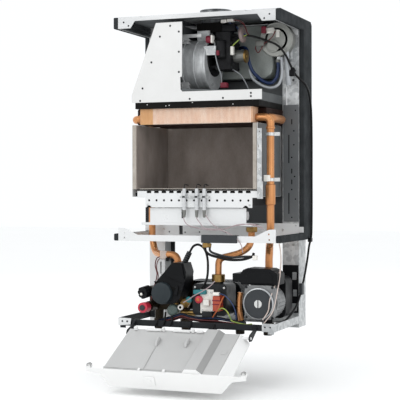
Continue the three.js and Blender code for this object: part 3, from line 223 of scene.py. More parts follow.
# White nylon of the cable plugs, a little translucent to the eye because it is so smooth.
WHITE_PLASTIC = Finish("white_nylon", "grey_plastic", "#eceae4", "#cfcabf", 0.0, 0.35, patch=12, detail=0.5,
    contrast=0.25, bump=0.01)
# Strong red nylon of the safety tap.
RED_PLASTIC = Finish("red_nylon", "red_plastic", "#d2354b", "#9c2233", 0.0, 0.38, patch=15, contrast=0.4)
# Teal nylon of the small cartridges at the water block.
TEAL_PLASTIC = Finish("teal_nylon", "blue_rubber", "#1f7f86", "#125055", 0.0, 0.4, patch=12, contrast=0.4)
# Navy silicone hose with a soft waxy light.
BLUE_RUBBER = Finish("navy_silicone_rubber", "blue_rubber", "#1a2f58", "#0f1c3b", 0.0, 0.33, patch=18,
    contrast=0.35, coat=0.15, gloss=0.3)
# Grey milky tube beside the hose.
CLEAR_TUBE = Finish("milky_grey_tube", "cable_sheath", "#a9adb1", "#7c8084", 0.0, 0.3, patch=18, contrast=0.3,
    coat=0.3)
# Black cable sheath: satin, with small dents.
CABLE = Finish("black_cable_sheath", "cable_sheath", "#0e0f10", "#060607", 0.0, 0.4, patch=12, detail=0.9,
    contrast=0.35, bump=0.03, gloss=0.2)
# Pressed mineral fibre of the chamber: warm grey, mottled, with short lines of fibre.
FIBRE = Finish("mineral_fibre_board", "fibre_board", "#a1958d", "#6f665f", 0.0, 0.95, patch=38, detail=1.4,
    contrast=0.6, stretch=(1.0, 1.0, 0.45), bump=0.35)
# Glazed porcelain of the electrodes, greyed by heat.
PORCELAIN = Finish("glazed_porcelain", "porcelain", "#c9cacb", "#9a9da0", 0.0, 0.16, patch=10, contrast=0.2,
    bump=0.005, coat=0.5)
# Orange-brown resin over the gas valve's coil.
RESIN = Finish("orange_coil_resin", "coil_resin", "#b5482a", "#7c2c18", 0.0, 0.4, patch=12, contrast=0.4)
# Dark red tape over the fan's winding.
RED_TAPE = Finish("dark_red_coil_tape", "coil_resin", "#7d1f33", "#4a141f", 0.0, 0.45, patch=8, contrast=0.4,
    gloss=0.3)
# Grey paint of the pump's motor can.
MOTOR_PAINT = Finish("grey_motor_paint", "dark_steel", "#858686", "#45474a", 0.1, 0.5, patch=25, detail=0.9,
    contrast=0.45, bump=0.03)
# Laminated iron: near black, with a fine stripe across the pack.
IRON = Finish("laminated_iron", "dark_steel", "#232325", "#0c0c0d", 0.3, 0.5, patch=12, detail=0.6,
    contrast=0.5, stretch=(1.0, 6.0, 1.0), bump=0.06, gloss=0.2)
# Green lacquer of the circuit board.
BOARD = Finish("green_lacquered_board", "circuit_board", "#2f6b45", "#1d4a2d", 0.0, 0.35, patch=14,
    contrast=0.5)
# Nearly black smoked window, smooth enough to mirror the studio.
SMOKED = Finish("smoked_window", "dark_glass", "#16191c", "#0c0e10", 0.0, 0.12, patch=60, contrast=0.3,
    bump=0.0, coat=0.6)
# Bright stainless screw heads.
SCREW_STEEL = Finish("plated_screw_steel", "galvanised", "#dcdcda", "#909294", 0.9, 0.28, patch=4,
    contrast=0.4)
# Near-black sheet: painted shade in slots, notches, gaps and grooves that stand in shadow, and the dark skin
# on the hopper's outside by the flue.
NEAR_BLACK_SHADE = Finish("near_black_painted_shade", "dark_steel", "#151413", "#080807", 0.0, 0.6, patch=35, contrast=0.5,
    gloss=0.08)
# Dark bronze of the water block, part brass and part blackened composite.
BRONZE = Finish("blackened_bronze", "brass", "#3b3122", "#0f0d09", 0.5, 0.4, patch=24, contrast=0.75,
    gloss=0.3)
# Grey cast zinc of the gas valve, darker than the bright sheets.
CAST_GREY = Finish("grey_cast_zinc", "aluminium", "#2b2d2f", "#131516", 0.4, 0.42, patch=22, detail=1.0,
    contrast=0.6, bump=0.06, gloss=0.3)
# Stainless plates painted nearly black as painted shade and dark reflection, with pale rims.
PLATE_STEEL_PAINTED_SHADE = Finish("stainless_plate_painted_shade", "aluminium", "#2b2d2f", "#101213", 0.7, 0.34, patch=26,
    contrast=0.55, gloss=0.3)
# Dull plated cap of the air switch, mid grey with pale rims.
SWITCH_METAL = Finish("dull_plated_cap", "aluminium", "#747571", "#595a58", 0.35, 0.4, patch=60, detail=0.9,
    contrast=0.25, bump=0.005)
# Painted shade of the unlit sheets beside the chamber and of the rear panel: dark grey with a slow gradient.
SIDE_SHEET_SHADE = Finish("side_sheet_painted_shade", "dark_steel", "#6c6f71", "#46494b", 0.15, 0.45, patch=150, detail=1.2,
    contrast=0.5, bump=0.01)
# Light grey front wall of the control tray, whiter than its cover.
PALE_PLASTIC = Finish("pale_moulded_plastic", "grey_plastic", "#ebebea", "#dcdcdb", 0.0, 0.48, patch=140,
    detail=0.6, contrast=0.25, bump=0.01)
# Fins at the left end, tinted tan by heat.
TAN_FIN = Finish("heat_tinted_fins", "copper", "#f3cb92", "#cf985c", 0.0, 0.4, patch=9, detail=1.6,
    contrast=0.7, stretch=(1.0, 1.0, 0.12), bump=0.03)
# Painted shade in the deep slots between the fins and between the plates: copper darkened as in their shadow.
FIN_SHADE = Finish("copper_core_painted_shade", "copper", "#e3bc9c", "#a8714b", 0.0, 0.6, patch=12, contrast=0.6)
# Shaded parts of the grey tray: the cover's falling slope and the hooks of its wings.
SHADED_PLASTIC = Finish("shaded_moulded_plastic", "grey_plastic", "#9c9c9b", "#888887", 0.0, 0.5, patch=90,
    detail=0.6, contrast=0.35, bump=0.01)
# Rolled aluminium of the fan drum: bright, with bands that follow its roundness.
DRUM = Finish("rolled_drum_aluminium", "aluminium", "#dfe1e2", "#767a7c", 0.3, 0.36, patch=9, detail=0.9,
    contrast=0.5, stretch=(1.0, 0.3, 0.3), bump=0.03)
# Spun flue collar, with dark and bright strips of the room painted in as reflections.
COLLAR_PAINTED_REFLECTION = Finish("spun_aluminium_painted_reflections", "aluminium", "#85888a", "#26292b", 0.5, 0.3, patch=20, contrast=0.85,
    stretch=(1.0, 1.0, 0.3), bump=0.01)
# Lining under the roof: dark grey foam with a dusty skin.
LINING = Finish("grey_lining_foam", "foam", "#6a6d6f", "#3b3e40", 0.0, 0.85, patch=60, detail=1.4,
    contrast=0.6, bump=0.2, gloss=0.15)
# The hood's right side and roof, turned from the light.
HOOD_SIDE = Finish("shaded_hood_steel", "dark_steel", "#5b5e5f", "#393c3d", 0.15, 0.5, patch=80, contrast=0.5,
    gloss=0.25)
# Dark brown copper under the exchanger, and painted shade on the end boxes, which stand in the dark gaps
# beside the fins.
DARK_COPPER_AND_SHADE = Finish("dark_copper_and_painted_shade", "copper", "#2b1610", "#120806", 0.2, 0.6, patch=25, contrast=0.6,
    gloss=0.15)
# Grey-green stove paint of the flat vessel.
VESSEL_PAINT = Finish("grey_green_stove_paint", "dark_steel", "#b4bab6", "#4d5350", 0.1, 0.4, patch=90,
    contrast=0.7)
# Turned cap in the middle of the air switch.
SWITCH_CAP = Finish("turned_switch_cap", "aluminium", "#93948f", "#7b7c79", 0.35, 0.34, patch=40,
    contrast=0.25, bump=0.004)
# Pinkish lacquer of the capacitor can.
LACQUER = Finish("pinkish_can_lacquer", "grey_plastic", "#8b7b78", "#675a58", 0.0, 0.4, patch=14,
    contrast=0.3)
# Orange nylon of the valve cap's centre.
ORANGE_PLASTIC = Finish("orange_nylon", "coil_resin", "#c96a34", "#94491f", 0.0, 0.4, patch=8, contrast=0.3)
# Beige nylon of the sensor clip.
BEIGE_PLASTIC = Finish("beige_nylon", "grey_plastic", "#cfc0b6", "#a2938a", 0.0, 0.42, patch=10,
    contrast=0.35)
# Slate grey plastic of the actuator's turning cap.
SLATE_PLASTIC = Finish("slate_cap_plastic", "grey_plastic", "#293135", "#1a2023", 0.0, 0.42, patch=20,
    contrast=0.4, gloss=0.25)
# Smoky grey-green cup at the water block.
SMOKY_CUP = Finish("smoky_cup_plastic", "grey_plastic", "#5f6f6a", "#3f4f4a", 0.0, 0.3, patch=14,
    contrast=0.4)


def sheath(name: str, base: str, tone: str, contrast: float = 0.35) -> Finish:
    """Describes one extruded wire sheath: matt plastic with faint patches.

    Args:
        name: The finish's name.
        base: Its colour.
        tone: The colour of its patches.
        contrast: How strongly the patches show.

    Returns:
        The finish.
    """
    return Finish(name, "cable_sheath", base, tone, rough=0.42, patch=9, contrast=contrast)


# Blue sheath, a little chalky.
BLUE_WIRE = sheath("blue_wire_sheath", "#233a66", "#182745", 0.3)
# Dark red sheath, nearly brown in the shade.
RED_WIRE = sheath("dark_red_wire_sheath", "#682123", "#401416", 0.3)
# Earth wire: yellow with green stretches.
YELLOW_WIRE = sheath("yellow_green_wire_sheath", "#b9c04e", "#588745", 0.8)
# Silicone lead that has gone pinkish grey.
PINK_WIRE = sheath("pinkish_grey_wire_sheath", "#a9979a", "#7c6d70")
# Orange sheath.
ORANGE_WIRE = sheath("orange_wire_sheath", "#b96131", "#864321")
# Beige sheath of the pump's leads.
BEIGE_WIRE = sheath("beige_wire_sheath", "#d3c3bb", "#a8988f")
# Plain mid grey sheath.
GREY_WIRE = sheath("grey_wire_sheath", "#8f9295", "#6c6f72")


# ------------------------------------------------------------ shape helpers

def smooth_route(points: Sequence[Point], steps: int) -> list[Vector]:
    """Runs one smooth curve through a list of points.

    Args:
        points: The places that the curve passes, in millimetres.
        steps: How many pieces each stretch is cut into.

    Returns:
        The points of the smooth curve.
    """
    given = [Vector(p) for p in points]
    ends = [given[0] * 2 - given[1], *given, given[-1] * 2 - given[-2]]
    curve = []
    for a, b, c, d in zip(ends, ends[1:], ends[2:], ends[3:]):
        for i in range(steps):
            t = i / steps
            curve.append(0.5 * (2 * b + (c - a) * t + (2 * a - 5 * b + 4 * c - d) * t * t
                + (3 * b - a - 3 * c + d) * t ** 3))
    return [*curve, given[-1]]


class Sketch:
    """Collects closed bodies in millimetres and turns them into one mesh object."""

    def __init__(self) -> None:
        self.mesh = bmesh.new()

    def loops(self, rings: Sequence[Sequence[Point]]) -> "Sketch":
        """Skins a row of rings that have equally many points, and closes both ends.

        Args:
            rings: Rings of points, in order along the body.

        Returns:
            The sketch itself, so that calls can follow each other.
        """
        rows = [[self.mesh.verts.new(p) for p in ring] for ring in rings]
        made = []
        for one, two in zip(rows, rows[1:]):
            for i in range(len(one)):
                j = (i + 1) % len(one)
                made.append(self.mesh.faces.new((one[i], one[j], two[j], two[i])))
        made.append(self.mesh.faces.new(rows[0][::-1]))
        made.append(self.mesh.faces.new(rows[-1]))
        bmesh.ops.recalc_face_normals(self.mesh, faces=made)
        return self

    def prism(self, outline: Sequence[Point], low: float, high: float, axis: str = "y") -> "Sketch":
        """Stretches a flat outline along one axis.

        Args:
            outline: Corners in the plane of the two other axes, in their order.
            low: Where the body starts along the axis.
            high: Where it ends.
            axis: The letter of the axis.

        Returns:
            The sketch itself.
        """
        places = {"x": lambda a, b, t: (t, a, b), "y": lambda a, b, t: (a, t, b), "z": lambda a, b,
            t: (a, b, t)}
        return self.loops([[places[axis](a, b, t) for a, b in outline] for t in (low, high)])

    def box(self, x: Point, y: Point, z: Point) -> "Sketch":
        """Adds a block between two values on each axis.

        Args:
            x: Lowest and highest X.
            y: Lowest and highest Y.
            z: Lowest and highest Z.

        Returns:
            The sketch itself.
        """
        outline = [(x[0], z[0]), (x[1], z[0]), (x[1], z[1]), (x[0], z[1])]
        return self.prism(outline, y[0], y[1])

    def turned(self, profile: Sequence[Point], centre: Point, aim: Point = (0, -1, 0),
            sides: int = 40) -> "Sketch":
        """Turns a profile about a line.

        Args:
            profile: Pairs of radius and distance along the line.
            centre: Where the distance is nought.
            aim: The line's direction.
            sides: How many sides the round has.

        Returns:
            The sketch itself.
        """
        turn = Vector(aim).to_track_quat("Z", "Y").to_matrix()
        rings = []
        for radius, along in profile:
            steps = [2 * math.pi * i / sides for i in range(sides)]
            rings.append([turn @ Vector((radius * math.cos(a), radius * math.sin(a), along)) + Vector(centre)
                for a in steps])
        return self.loops(rings)

    def rod(self, start: Point, end: Point, radius: float, sides: int = 20, ease: float = 0.0) -> "Sketch":
        """Adds a round bar with softened ends.

        Args:
            start: The middle of one end.
            end: The middle of the other.
            radius: Its radius.
            sides: How many sides it has.
            ease: How far each end's edge is cut back.

        Returns:
            The sketch itself.
        """
        way = Vector(end) - Vector(start)
        long = way.length
        ease = ease or min(0.5, radius * 0.15)
        profile = [(radius - ease, 0), (radius, ease), (radius, long - ease), (radius - ease, long)]
        return self.turned(profile, start, way, sides)

    def tube(self, points: Sequence[Point], radius: float, sides: int = 12, steps: int = 6,
            swell: Sequence[float] = ()) -> "Sketch":
        """Sweeps a round section along one smooth curve.

        Args:
            points: The places that the middle line passes.
            radius: The section's radius.
            sides: How many sides the section has.
            steps: How finely each stretch of the curve is cut.
            swell: Factors on the radius that repeat along the curve.

        Returns:
            The sketch itself.
        """
        curve = smooth_route(points, steps)
        heading = (curve[1] - curve[0]).normalized()
        side = heading.orthogonal().normalized()
        rings = []
        for i, place in enumerate(curve):
            ahead = (curve[min(i + 1, len(curve) - 1)] - curve[max(i - 1, 0)]).normalized()
            side = (heading.rotation_difference(ahead) @ side).normalized()
            heading = ahead
            up = heading.cross(side)
            size = radius * (swell[i % len(swell)] if swell else 1.0)
            rings.append([place + size * (math.cos(a) * side + math.sin(a) * up)
                for a in (2 * math.pi * k / sides for k in range(sides))])
        return self.loops(rings)

    def soften(self, width: float, angle: float = 32.0, segments: int = ROUND_STEPS) -> "Sketch":
        """Rounds the sharp edges of what is drawn so far.

        Args:
            width: How far the rounding reaches from an edge.
            angle: The least angle of an edge that is rounded.
            segments: How many faces the rounding takes.

        Returns:
            The sketch itself.
        """
        edges = [e for e in self.mesh.edges if len(e.link_faces) == 2
            and math.degrees(e.calc_face_angle(0)) > angle]
        bmesh.ops.bevel(self.mesh, geom=edges, offset=width, offset_type="OFFSET", segments=segments,
            profile=0.5, affect="EDGES", clamp_overlap=True)
        return self

    def object(self, name: str) -> bpy.types.Object:
        """Ends the sketch as a mesh object in metres.

        Args:
            name: The object's name.

        Returns:
            The object, at the origin.
        """
        bmesh.ops.scale(self.mesh, vec=(MM, MM, MM), verts=self.mesh.verts)
        data = bpy.data.meshes.new(name)
        self.mesh.to_mesh(data)
        self.mesh.free()
        return shown(name, data)

    def put(self, name: str, finish: Finish, body: str = BODY,
            stands_for: Sequence[str] = ()) -> bpy.types.Object:
        """Ends the sketch and mounts it in the scene.

        Args:
            name: The object's name.
            finish: What it is made of.
            body: The body that it moves with.
            stands_for: CAD nodes that it hides.

        Returns:
            The mounted object.
        """
        return mount(self.object(name), finish, body, stands_for)


def shown(name: str, data: bpy.types.Mesh) -> bpy.types.Object:
    """Puts a mesh into the scene with smooth faces and sharp folds.

    Args:
        name: The object's name.
        data: Its mesh.

    Returns:
        The new object.
    """
    made = bpy.data.objects.new(name, data)
    bpy.context.scene.collection.objects.link(made)
    data.shade_smooth()
    data.set_sharp_from_angle(angle=math.radians(FOLD_ANGLE))
    levelled = made.modifiers.new("flat_faces_stay_flat", "WEIGHTED_NORMAL")
    levelled.keep_sharp = True
    levelled.weight = 100
    ready = made.evaluated_get(bpy.context.evaluated_depsgraph_get())
    settled = bpy.data.meshes.new_from_object(ready)
    made.modifiers.clear()
    made.data = settled
    settled.name = name
    bpy.data.meshes.remove(data)
    return made


def mount(piece: bpy.types.Object, finish: Finish, body: str = BODY,
        stands_for: Sequence[str] = ()) -> bpy.types.Object:
    """Gives a piece its finish, its body and the CAD nodes that it stands for.

    Args:
        piece: The finished mesh object.
        finish: What it is made of.
        body: The body that it moves with.
        stands_for: CAD nodes that it hides.

    Returns:
        The same object.
    """
    piece.data.materials.clear()
    piece.data.materials.append(finish.material())
    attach(piece, body)
    if stands_for:
        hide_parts(*stands_for)
    LOG.info("%-28s %6d faces on %s", piece.name, len(piece.data.polygons), body)
    return piece


def refine(node: str, finish: Finish, edge: float = 0.35, body: str = BODY) -> bpy.types.Object:
    """Lets a cleaned copy with rounded edges stand for one CAD node.

    Args:
        node: The node's name.
        finish: What it is made of.
        edge: How far the rounding of its edges reaches, in millimetres.
        body: The body that it moves with.

    Returns:
        The copy.
    """
    work = bmesh.new()
    work.from_mesh(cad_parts[node].data)
    bmesh.ops.remove_doubles(work, verts=work.verts, dist=WELD_GAP * MM)
    bmesh.ops.dissolve_limit(work, angle_limit=math.radians(FLAT_ANGLE), verts=work.verts, edges=work.edges)
    bmesh.ops.recalc_face_normals(work, faces=work.faces)
    if edge:
        sharp = [e for e in work.edges if len(e.link_faces) == 2
            and math.degrees(e.calc_face_angle(0)) > FOLD_ANGLE]
        bmesh.ops.bevel(work, geom=sharp, offset=edge * MM, offset_type="OFFSET", segments=ROUND_STEPS,
            profile=0.5, affect="EDGES", clamp_overlap=True)
    data = bpy.data.meshes.new(node + "_finished")
    work.to_mesh(data)
    work.free()
    return mount(shown(node + "_finished", data), finish, body, [node])


class Repeater:
    """Sets copies of one small shape at given places with Geometry Nodes."""

    def __init__(self) -> None:
        tree = bpy.data.node_groups.new("copies_at_places", "GeometryNodeTree")
        sockets = [("Geometry", "NodeSocketGeometry"), ("Shape", "NodeSocketObject"),
            ("Aim", "NodeSocketVector"), ("Wander", "NodeSocketFloat"), ("Seed", "NodeSocketInt"),
            ("Finish", "NodeSocketMaterial")]
        for label, kind in sockets:
            tree.interface.new_socket(label, in_out="INPUT", socket_type=kind)
        tree.interface.new_socket("Geometry", in_out="OUTPUT", socket_type="NodeSocketGeometry")
        given = add_node(tree, "NodeGroupInput").outputs
        shape = add_node(tree, "GeometryNodeObjectInfo", {"Object": given["Shape"]})
        facing = add_node(tree, "FunctionNodeAlignRotationToVector", {"Vector": given["Aim"]}, axis="Z")
        low = add_node(tree, "ShaderNodeMath", {0: given["Wander"], 1: -1.0}, operation="MULTIPLY")
        chance = add_node(tree, "FunctionNodeRandomValue", {2: low.outputs[0], 3: given["Wander"],
            "Seed": given["Seed"]}, data_type="FLOAT")
        spin = add_node(tree, "FunctionNodeAxisAngleToRotation", {"Angle": chance.outputs[1]})
        both = add_node(tree, "FunctionNodeRotateRotation", {0: facing.outputs[0], 1: spin.outputs[0]},
            rotation_space="LOCAL")
        copies = add_node(tree, "GeometryNodeInstanceOnPoints", {"Points": given["Geometry"],
            "Instance": shape.outputs["Geometry"], "Rotation": both.outputs[0]})
        real = add_node(tree, "GeometryNodeRealizeInstances", {0: copies.outputs[0]})
        dressed = add_node(tree, "GeometryNodeSetMaterial", {"Geometry": real.outputs[0],
            "Material": given["Finish"]})
        add_node(tree, "NodeGroupOutput", {0: dressed.outputs[0]})
        self.tree = tree
        sockets_in = [item for item in tree.interface.items_tree if item.in_out == "INPUT"]
        self.keys = {item.name: item.identifier for item in sockets_in}

    def spread(self, name: str, shape: Sketch, places: Sequence[Point], finish: Finish,
            aim: Point = (0, 0, 1), wander: float = 0.0, body: str = BODY,
            stands_for: Sequence[str] = ()) -> bpy.types.Object:
        """Makes one plain mesh of all the copies and mounts it.

        Args:
            name: The object's name.
            shape: What is copied, drawn about the origin.
            places: Where the copies go, in millimetres.
            finish: What they are made of.
            aim: Where the shape's own Z points.
            wander: How far a copy may be turned about that direction, in radians.
            body: The body that they move with.
            stands_for: CAD nodes that they hide.

        Returns:
            The mounted object.
        """
        pattern = shape.object(name + "_pattern")
        points = bpy.data.meshes.new(name + "_places")
        points.from_pydata([[c * MM for c in p] for p in places], [], [])
        host = bpy.data.objects.new(name + "_host", points)
        bpy.context.scene.collection.objects.link(host)
        modifier = host.modifiers.new("copies", "NODES")
        modifier.node_group = self.tree
        given = {"Shape": pattern, "Aim": tuple(float(c) for c in aim), "Wander": float(wander), "Seed": SEED,
            "Finish": finish.material()}
        for label, value in given.items():
            modifier[self.keys[label]] = value
        bpy.context.view_layer.update()
        ready = host.evaluated_get(bpy.context.evaluated_depsgraph_get())
        data = bpy.data.meshes.new_from_object(ready)
        data.name = name
        host.modifiers.clear()
        for spent in (host, pattern):
            bpy.data.objects.remove(spent)
        return mount(shown(name, data), finish, body, stands_for)


REPEAT = Repeater()


def screw_head(radius: float, high: float) -> Sketch:
    """Draws a domed screw head with a cross recess, facing up its own Z.

    Args:
        radius: The head's radius.
        high: How far it stands proud.

    Returns:
        The sketch of one head.
    """
    head = Sketch().turned([(radius, -0.4), (radius, 0.3 * high), (radius * 0.86, 0.75 * high),
        (radius * 0.62, high), (radius * 0.5, high)], (0, 0, 0), (0, 0, 1), 16)
    for turn in (0, math.pi / 2):
        along = Vector((math.cos(turn), math.sin(turn))) * radius * 0.56
        across = Vector((-math.sin(turn), math.cos(turn))) * radius * 0.1
        corners = [along + across, along - across, -along - across, -along + across]
        head.prism([tuple(c) for c in corners], high * 0.9, high * 1.04, "z")
    return head


def screws(name: str, places: Sequence[Point], aim: Point = (0, -1, 0), radius: float = 3.2, body: str = BODY,
        finish: Finish = SCREW_STEEL) -> bpy.types.Object:
    """Sets screw heads, each turned by chance.

    Args:
        name: The object's name.
        places: Where the heads sit.
        aim: Which way they face.
        radius: A head's radius.
        body: The body that they move with.
        finish: What they are made of.

    Returns:
        The mounted object.
    """
    return REPEAT.spread(name, screw_head(radius, radius * 0.5), places, finish, aim, FREE_TURN, body)


def wire(name: str, points: Sequence[Point], finish: Finish, radius: float = 1.1,
        body: str = BODY) -> bpy.types.Object:
    """Lays one held wire along a smooth curve.

    Args:
        name: The object's name.
        points: The places that it passes.
        finish: Its sheath.
        radius: Its radius.
        body: The body that it moves with.

    Returns:
        The mounted object.
    """
    return Sketch().tube(points, radius, WIRE_SIDES, WIRE_STEPS).put(name, finish, body)


# ------------------------------------------------------------------ studio

@dataclass
class Studio:
    """Camera, floor, backdrop and soft lights, in metres."""

    eye: Point = (0.961, -2.639, 0.311)
    turn: float = 21.58
    tilt: float = 89.49
    roll: float = 0.07
    focal: float = 104.8
    rise: float = -0.00325
    sensor: float = 36.0
    sight: float = 50.0
    floor: float = -0.128
    reach: float = 9.0
    middle: Point = (0.0, -0.15, 0.3)
    lamps: tuple[tuple[str, Point, float, float], ...] = (("key", (-1.3, -2.6, 1.7), 1.6, 15),
        ("fill", (2.4, -1.9, 0.9), 1.8, 7), ("top", (0.2, -0.6, 2.4), 1.6, 6), ("back", (-1.6, 2.0, 1.6), 1.6,
        6))

    def camera(self) -> None:
        """Stands the camera where the photograph was taken from."""
        lens = bpy.data.cameras.new("photo_camera")
        lens.lens = self.focal
        lens.sensor_width = self.sensor
        lens.shift_y = self.rise
        lens.clip_end = self.sight
        held = bpy.data.objects.new("photo_camera", lens)
        held.location = self.eye
        held.rotation_euler = [math.radians(a) for a in (self.tilt, self.roll, self.turn)]
        bpy.context.scene.collection.objects.link(held)
        bpy.context.scene.camera = held

    def floor_plane(self) -> None:
        """Lays a plain pale floor under the part."""
        data = bpy.data.meshes.new("studio_floor")
        far = self.reach
        corners = [(x, y, self.floor) for x, y in ((-far, -far), (far, -far), (far, far), (-far, far))]
        data.from_pydata(corners, [], [(0, 1, 2, 3)])
        plane = bpy.data.objects.new("studio_floor", data)
        bpy.context.scene.collection.objects.link(plane)
        # Pale matt floor that takes a soft shadow and has no pattern to speak of.
        data.materials.append(Finish("studio_paper", "white_enamel", "#fcfcfb", "#f7f7f6", 0.0, 0.9,
            patch=900, detail=8, contrast=0.2, bump=0.0).material())

    def lamp(self, name: str, place: Point, size: float, power: float) -> None:
        """Hangs one square soft light that points at the part's middle.

        Args:
            name: The light's name.
            place: Where it hangs.
            size: Its side.
            power: Its power in watts.
        """
        light = bpy.data.lights.new(name, "AREA")
        light.size = size
        light.energy = power
        held = bpy.data.objects.new(name, light)
        held.location = place
        held.rotation_euler = (Vector(self.middle) - Vector(place)).to_track_quat("-Z", "Y").to_euler()
        bpy.context.scene.collection.objects.link(held)

    def world(self, strength: float = 1.1) -> None:
        """Fills the room with even white light.

        Args:
            strength: How bright the even light is.
        """
        room = bpy.data.worlds.new("studio_room")
        room.use_nodes = True
        room.node_tree.nodes.clear()
        glow = add_node(room.node_tree, "ShaderNodeBackground",
            {"Color": linear("#f4f6f8"), "Strength": strength})
        add_node(room.node_tree, "ShaderNodeOutputWorld", {"Surface": glow.outputs[0]})
        bpy.context.scene.world = room

    def build(self) -> None:
        """Sets the whole studio up."""
        # Plain sRGB, so that a finish's colour codes are what the eye gets.
        bpy.context.scene.view_settings.view_transform = "Standard"
        self.camera()
        self.floor_plane()
        self.world()
        for name, place, size, power in self.lamps:
            self.lamp(name, place, size, power)


# ------------------------------------------------------------ sub-assemblies

@dataclass
class SheetFrame:
    """The sheet-metal back frame, its bars and its foam seals."""

    screw: float = 3.2
    collar_screw: float = 2.6
    collar_middle: Point = (2.0, -112.0, 701.2)
    collar_ring: float = 41.0
    roof_foam: Point = (696.4, 698.4)
    foam_wall: Point = (182.6, 186.4)
    shade_sheet_front: float = -66.8
    slot_wide: float = 2.2
    rib: float = 1.6
    bead: float = 2.4

    def build(self) -> None:
        """Dresses the frame's own sheets and adds their fixings."""
        for node in ("upright_left", "mid_frame", "cross_panel"):
            refine(node, WHITE_SHEET, 0.3)
        for node in ("hanging_rail", "lower_rail", "upright_right", "bottom_arm_right"):
            refine(node, ZINC, 0.3)
        refine("top_panel", BRIGHT_SHEET, 0.3)
        refine("bottom_arm_left", DARK_STEEL, 0.3)
        # The rear panel takes the painted shade of the unlit side sheets.
        refine("rear_panel", SIDE_SHEET_SHADE, 0.3)
        refine("bottom_bar", DARK_STEEL, 0.35)
        refine("bar_clip", CAP_PLASTIC, 1.2)
        # Flue collar: its dark and bright strips are painted reflections.
        refine("flue_collar", COLLAR_PAINTED_REFLECTION, 0.5)
        for node in ("gasket_left", "gasket_right"):
            refine(node, FOAM, 2.2)
        self.fixings()
        self.creases()
        self.linings()

    def linings(self) -> None:
        """Lines the roof with foam and lays painted shade on the unlit sheets beside the chamber."""
        roof = Sketch()
        for low, high in ((-226, -170), (-170, -70)):
            for x in ((-186, -64), (64, 186)) if low > -200 else ((-186, 186),):
                roof.box(x, (low, high), self.roof_foam)
        for side in (-1, 1):
            for z in ((675, 681.5), (682.5, 689), (690, 696)):
                roof.box(sorted(side * x for x in self.foam_wall), (-237, -70), z)
        roof.soften(0.7).put("roof_foam", LINING)
        # Painted shade: a dark grey sheet over the right upright where it stands unlit.
        Sketch().box((150.6, 187.4), (self.shade_sheet_front, -65.2), (234, 503)).soften(0.5).put("side_screen",
            SIDE_SHEET_SHADE)
        # Painted shade in the sheet's slots and holes: darker boxes and discs.
        slots = Sketch()
        for z0, z1, x in ((369, 434, 163), (320, 331, 170), (345, 356, 170), (252, 300, 163),
                (458, 470, 170)):
            slots.box((x, x + self.slot_wide), (-67.2, -66.4), (z0, z1))
        for x, z in ((176, 443), (176, 411), (171, 382), (178, 338), (171, 308), (180, 286), (171, 244),
                (180, 490)):
            slots.rod((x, -67.2, z), (x, -66.4, z), 1.7, 16, 0.1)
        slots.put("side_screen_slots", NEAR_BLACK_SHADE)
        # Painted shade: a dark strip where the left upright's inner flange stands in shadow.
        Sketch().box((-151, -141), (-22, -17), (30, 190)).soften(1.0).put("left_inner_strip", DARK_STEEL)
        Sketch().prism([(-187, -1), (-158, 2), (-156, 16), (-187, 17)], -240.9,
            -240.1).soften(0.2).put("left_ear_plate", WHITE_SHEET)
        screws("left_ear_rivets", [(-178, -240.9, 9), (-166, -240.9, 9)], (0, -1, 0), 2.2, finish=DARK_STEEL)
        # Painted shade on the casing's right side, which stands unlit.
        Sketch().box((143.2, 143.6), (-228.5, -66), (293, 454)).put("chamber_side_shade", SIDE_SHEET_SHADE)
        Sketch().prism([(164, 688), (187, 684), (187, 662), (180, 664)], -70.5,
            -69).soften(0.5).put("right_gusset", WHITE_SHEET)

    def fixings(self) -> None:
        """Sets the frame's screws where the sheets meet."""
        front = [(-150, -66.8, 214), (150, -66.8, 214), (-178, -66.8, 225), (100, -66.8, 200)]
        screws("frame_screws", front, (0, -1, 0), self.screw)
        roof = [(x, y, 700.0) for x in (-172, 172) for y in (-52, -150)] + [(-60, -40, 700.0),
            (64, -40, 700.0)]
        screws("roof_screws", roof, (0, 0, 1), self.screw)
        x, y, z = self.collar_middle
        collar = [(x + self.collar_ring * math.cos(a), y + self.collar_ring * math.sin(a), z)
            for a in (math.radians(d) for d in (45, 135, 225, 315))]
        screws("flue_collar_screws", collar, (0, 0, 1), self.collar_screw)

    def creases(self) -> None:
        """Presses long beads into the roof and the uprights."""
        beads = Sketch()
        for x in (-120, 110):
            beads.rod((x, -205, 699.6), (x, -60, 699.6), self.bead, 12)
        beads.put("roof_beads", WHITE_SHEET)
        ribs = Sketch()
        for x in (-158, 158):
            for low, high in ((40, 105), (480, 545), (585, 660)):
                ribs.rod((x, -65.2, low), (x, -65.2, high), self.rib, 12)
        ribs.put("upright_ribs", WHITE_SHEET)


@dataclass
class SmokeHood:
    """The sloped hood over the exchanger with its front sheet."""

    face: float = -235.8

    def build(self) -> None:
        """Dresses the hood and sets its rivets and pins, with painted shade in the gap under its front sheet.
        """
        refine("smoke_hood", HOOD_SIDE, 0.5)
        refine("hood_front_plate", HOOD_SHEET, 0.35)
        rivets = [(-61, 675), (-86, 652), (-40, 661), (-107, 595), (-40, 616), (-40, 571), (-129, 537),
            (-135, 509), (-14, 510), (65, 510), (130, 519), (130, 512)]
        dots = Sketch()
        for x, z in rivets:
            dots.turned([(1.9, -0.5), (2.3, 0.1), (2.1, 0.6), (0.9, 0.7)], (x, self.face, z), (0, -1, 0), 20)
        dots.put("hood_rivets", DARK_STEEL)
        band = Sketch().box((-147.9, 147.9), (-234.6, -60), (490.9, 504.6))
        # Painted shade: a dark band over the gap between front sheet and exchanger, with a few bright pin
        # heads on it.
        band.soften(0.8).put("hood_skirt", NEAR_BLACK_SHADE)
        pins = [(-118, -234.6, 500), (-72, -234.6, 496), (-64, -234.6, 497), (-8, -234.6, 502),
            (88, -234.6, 496)]
        screws("hood_pins", pins, (0, -1, 0), 1.3)


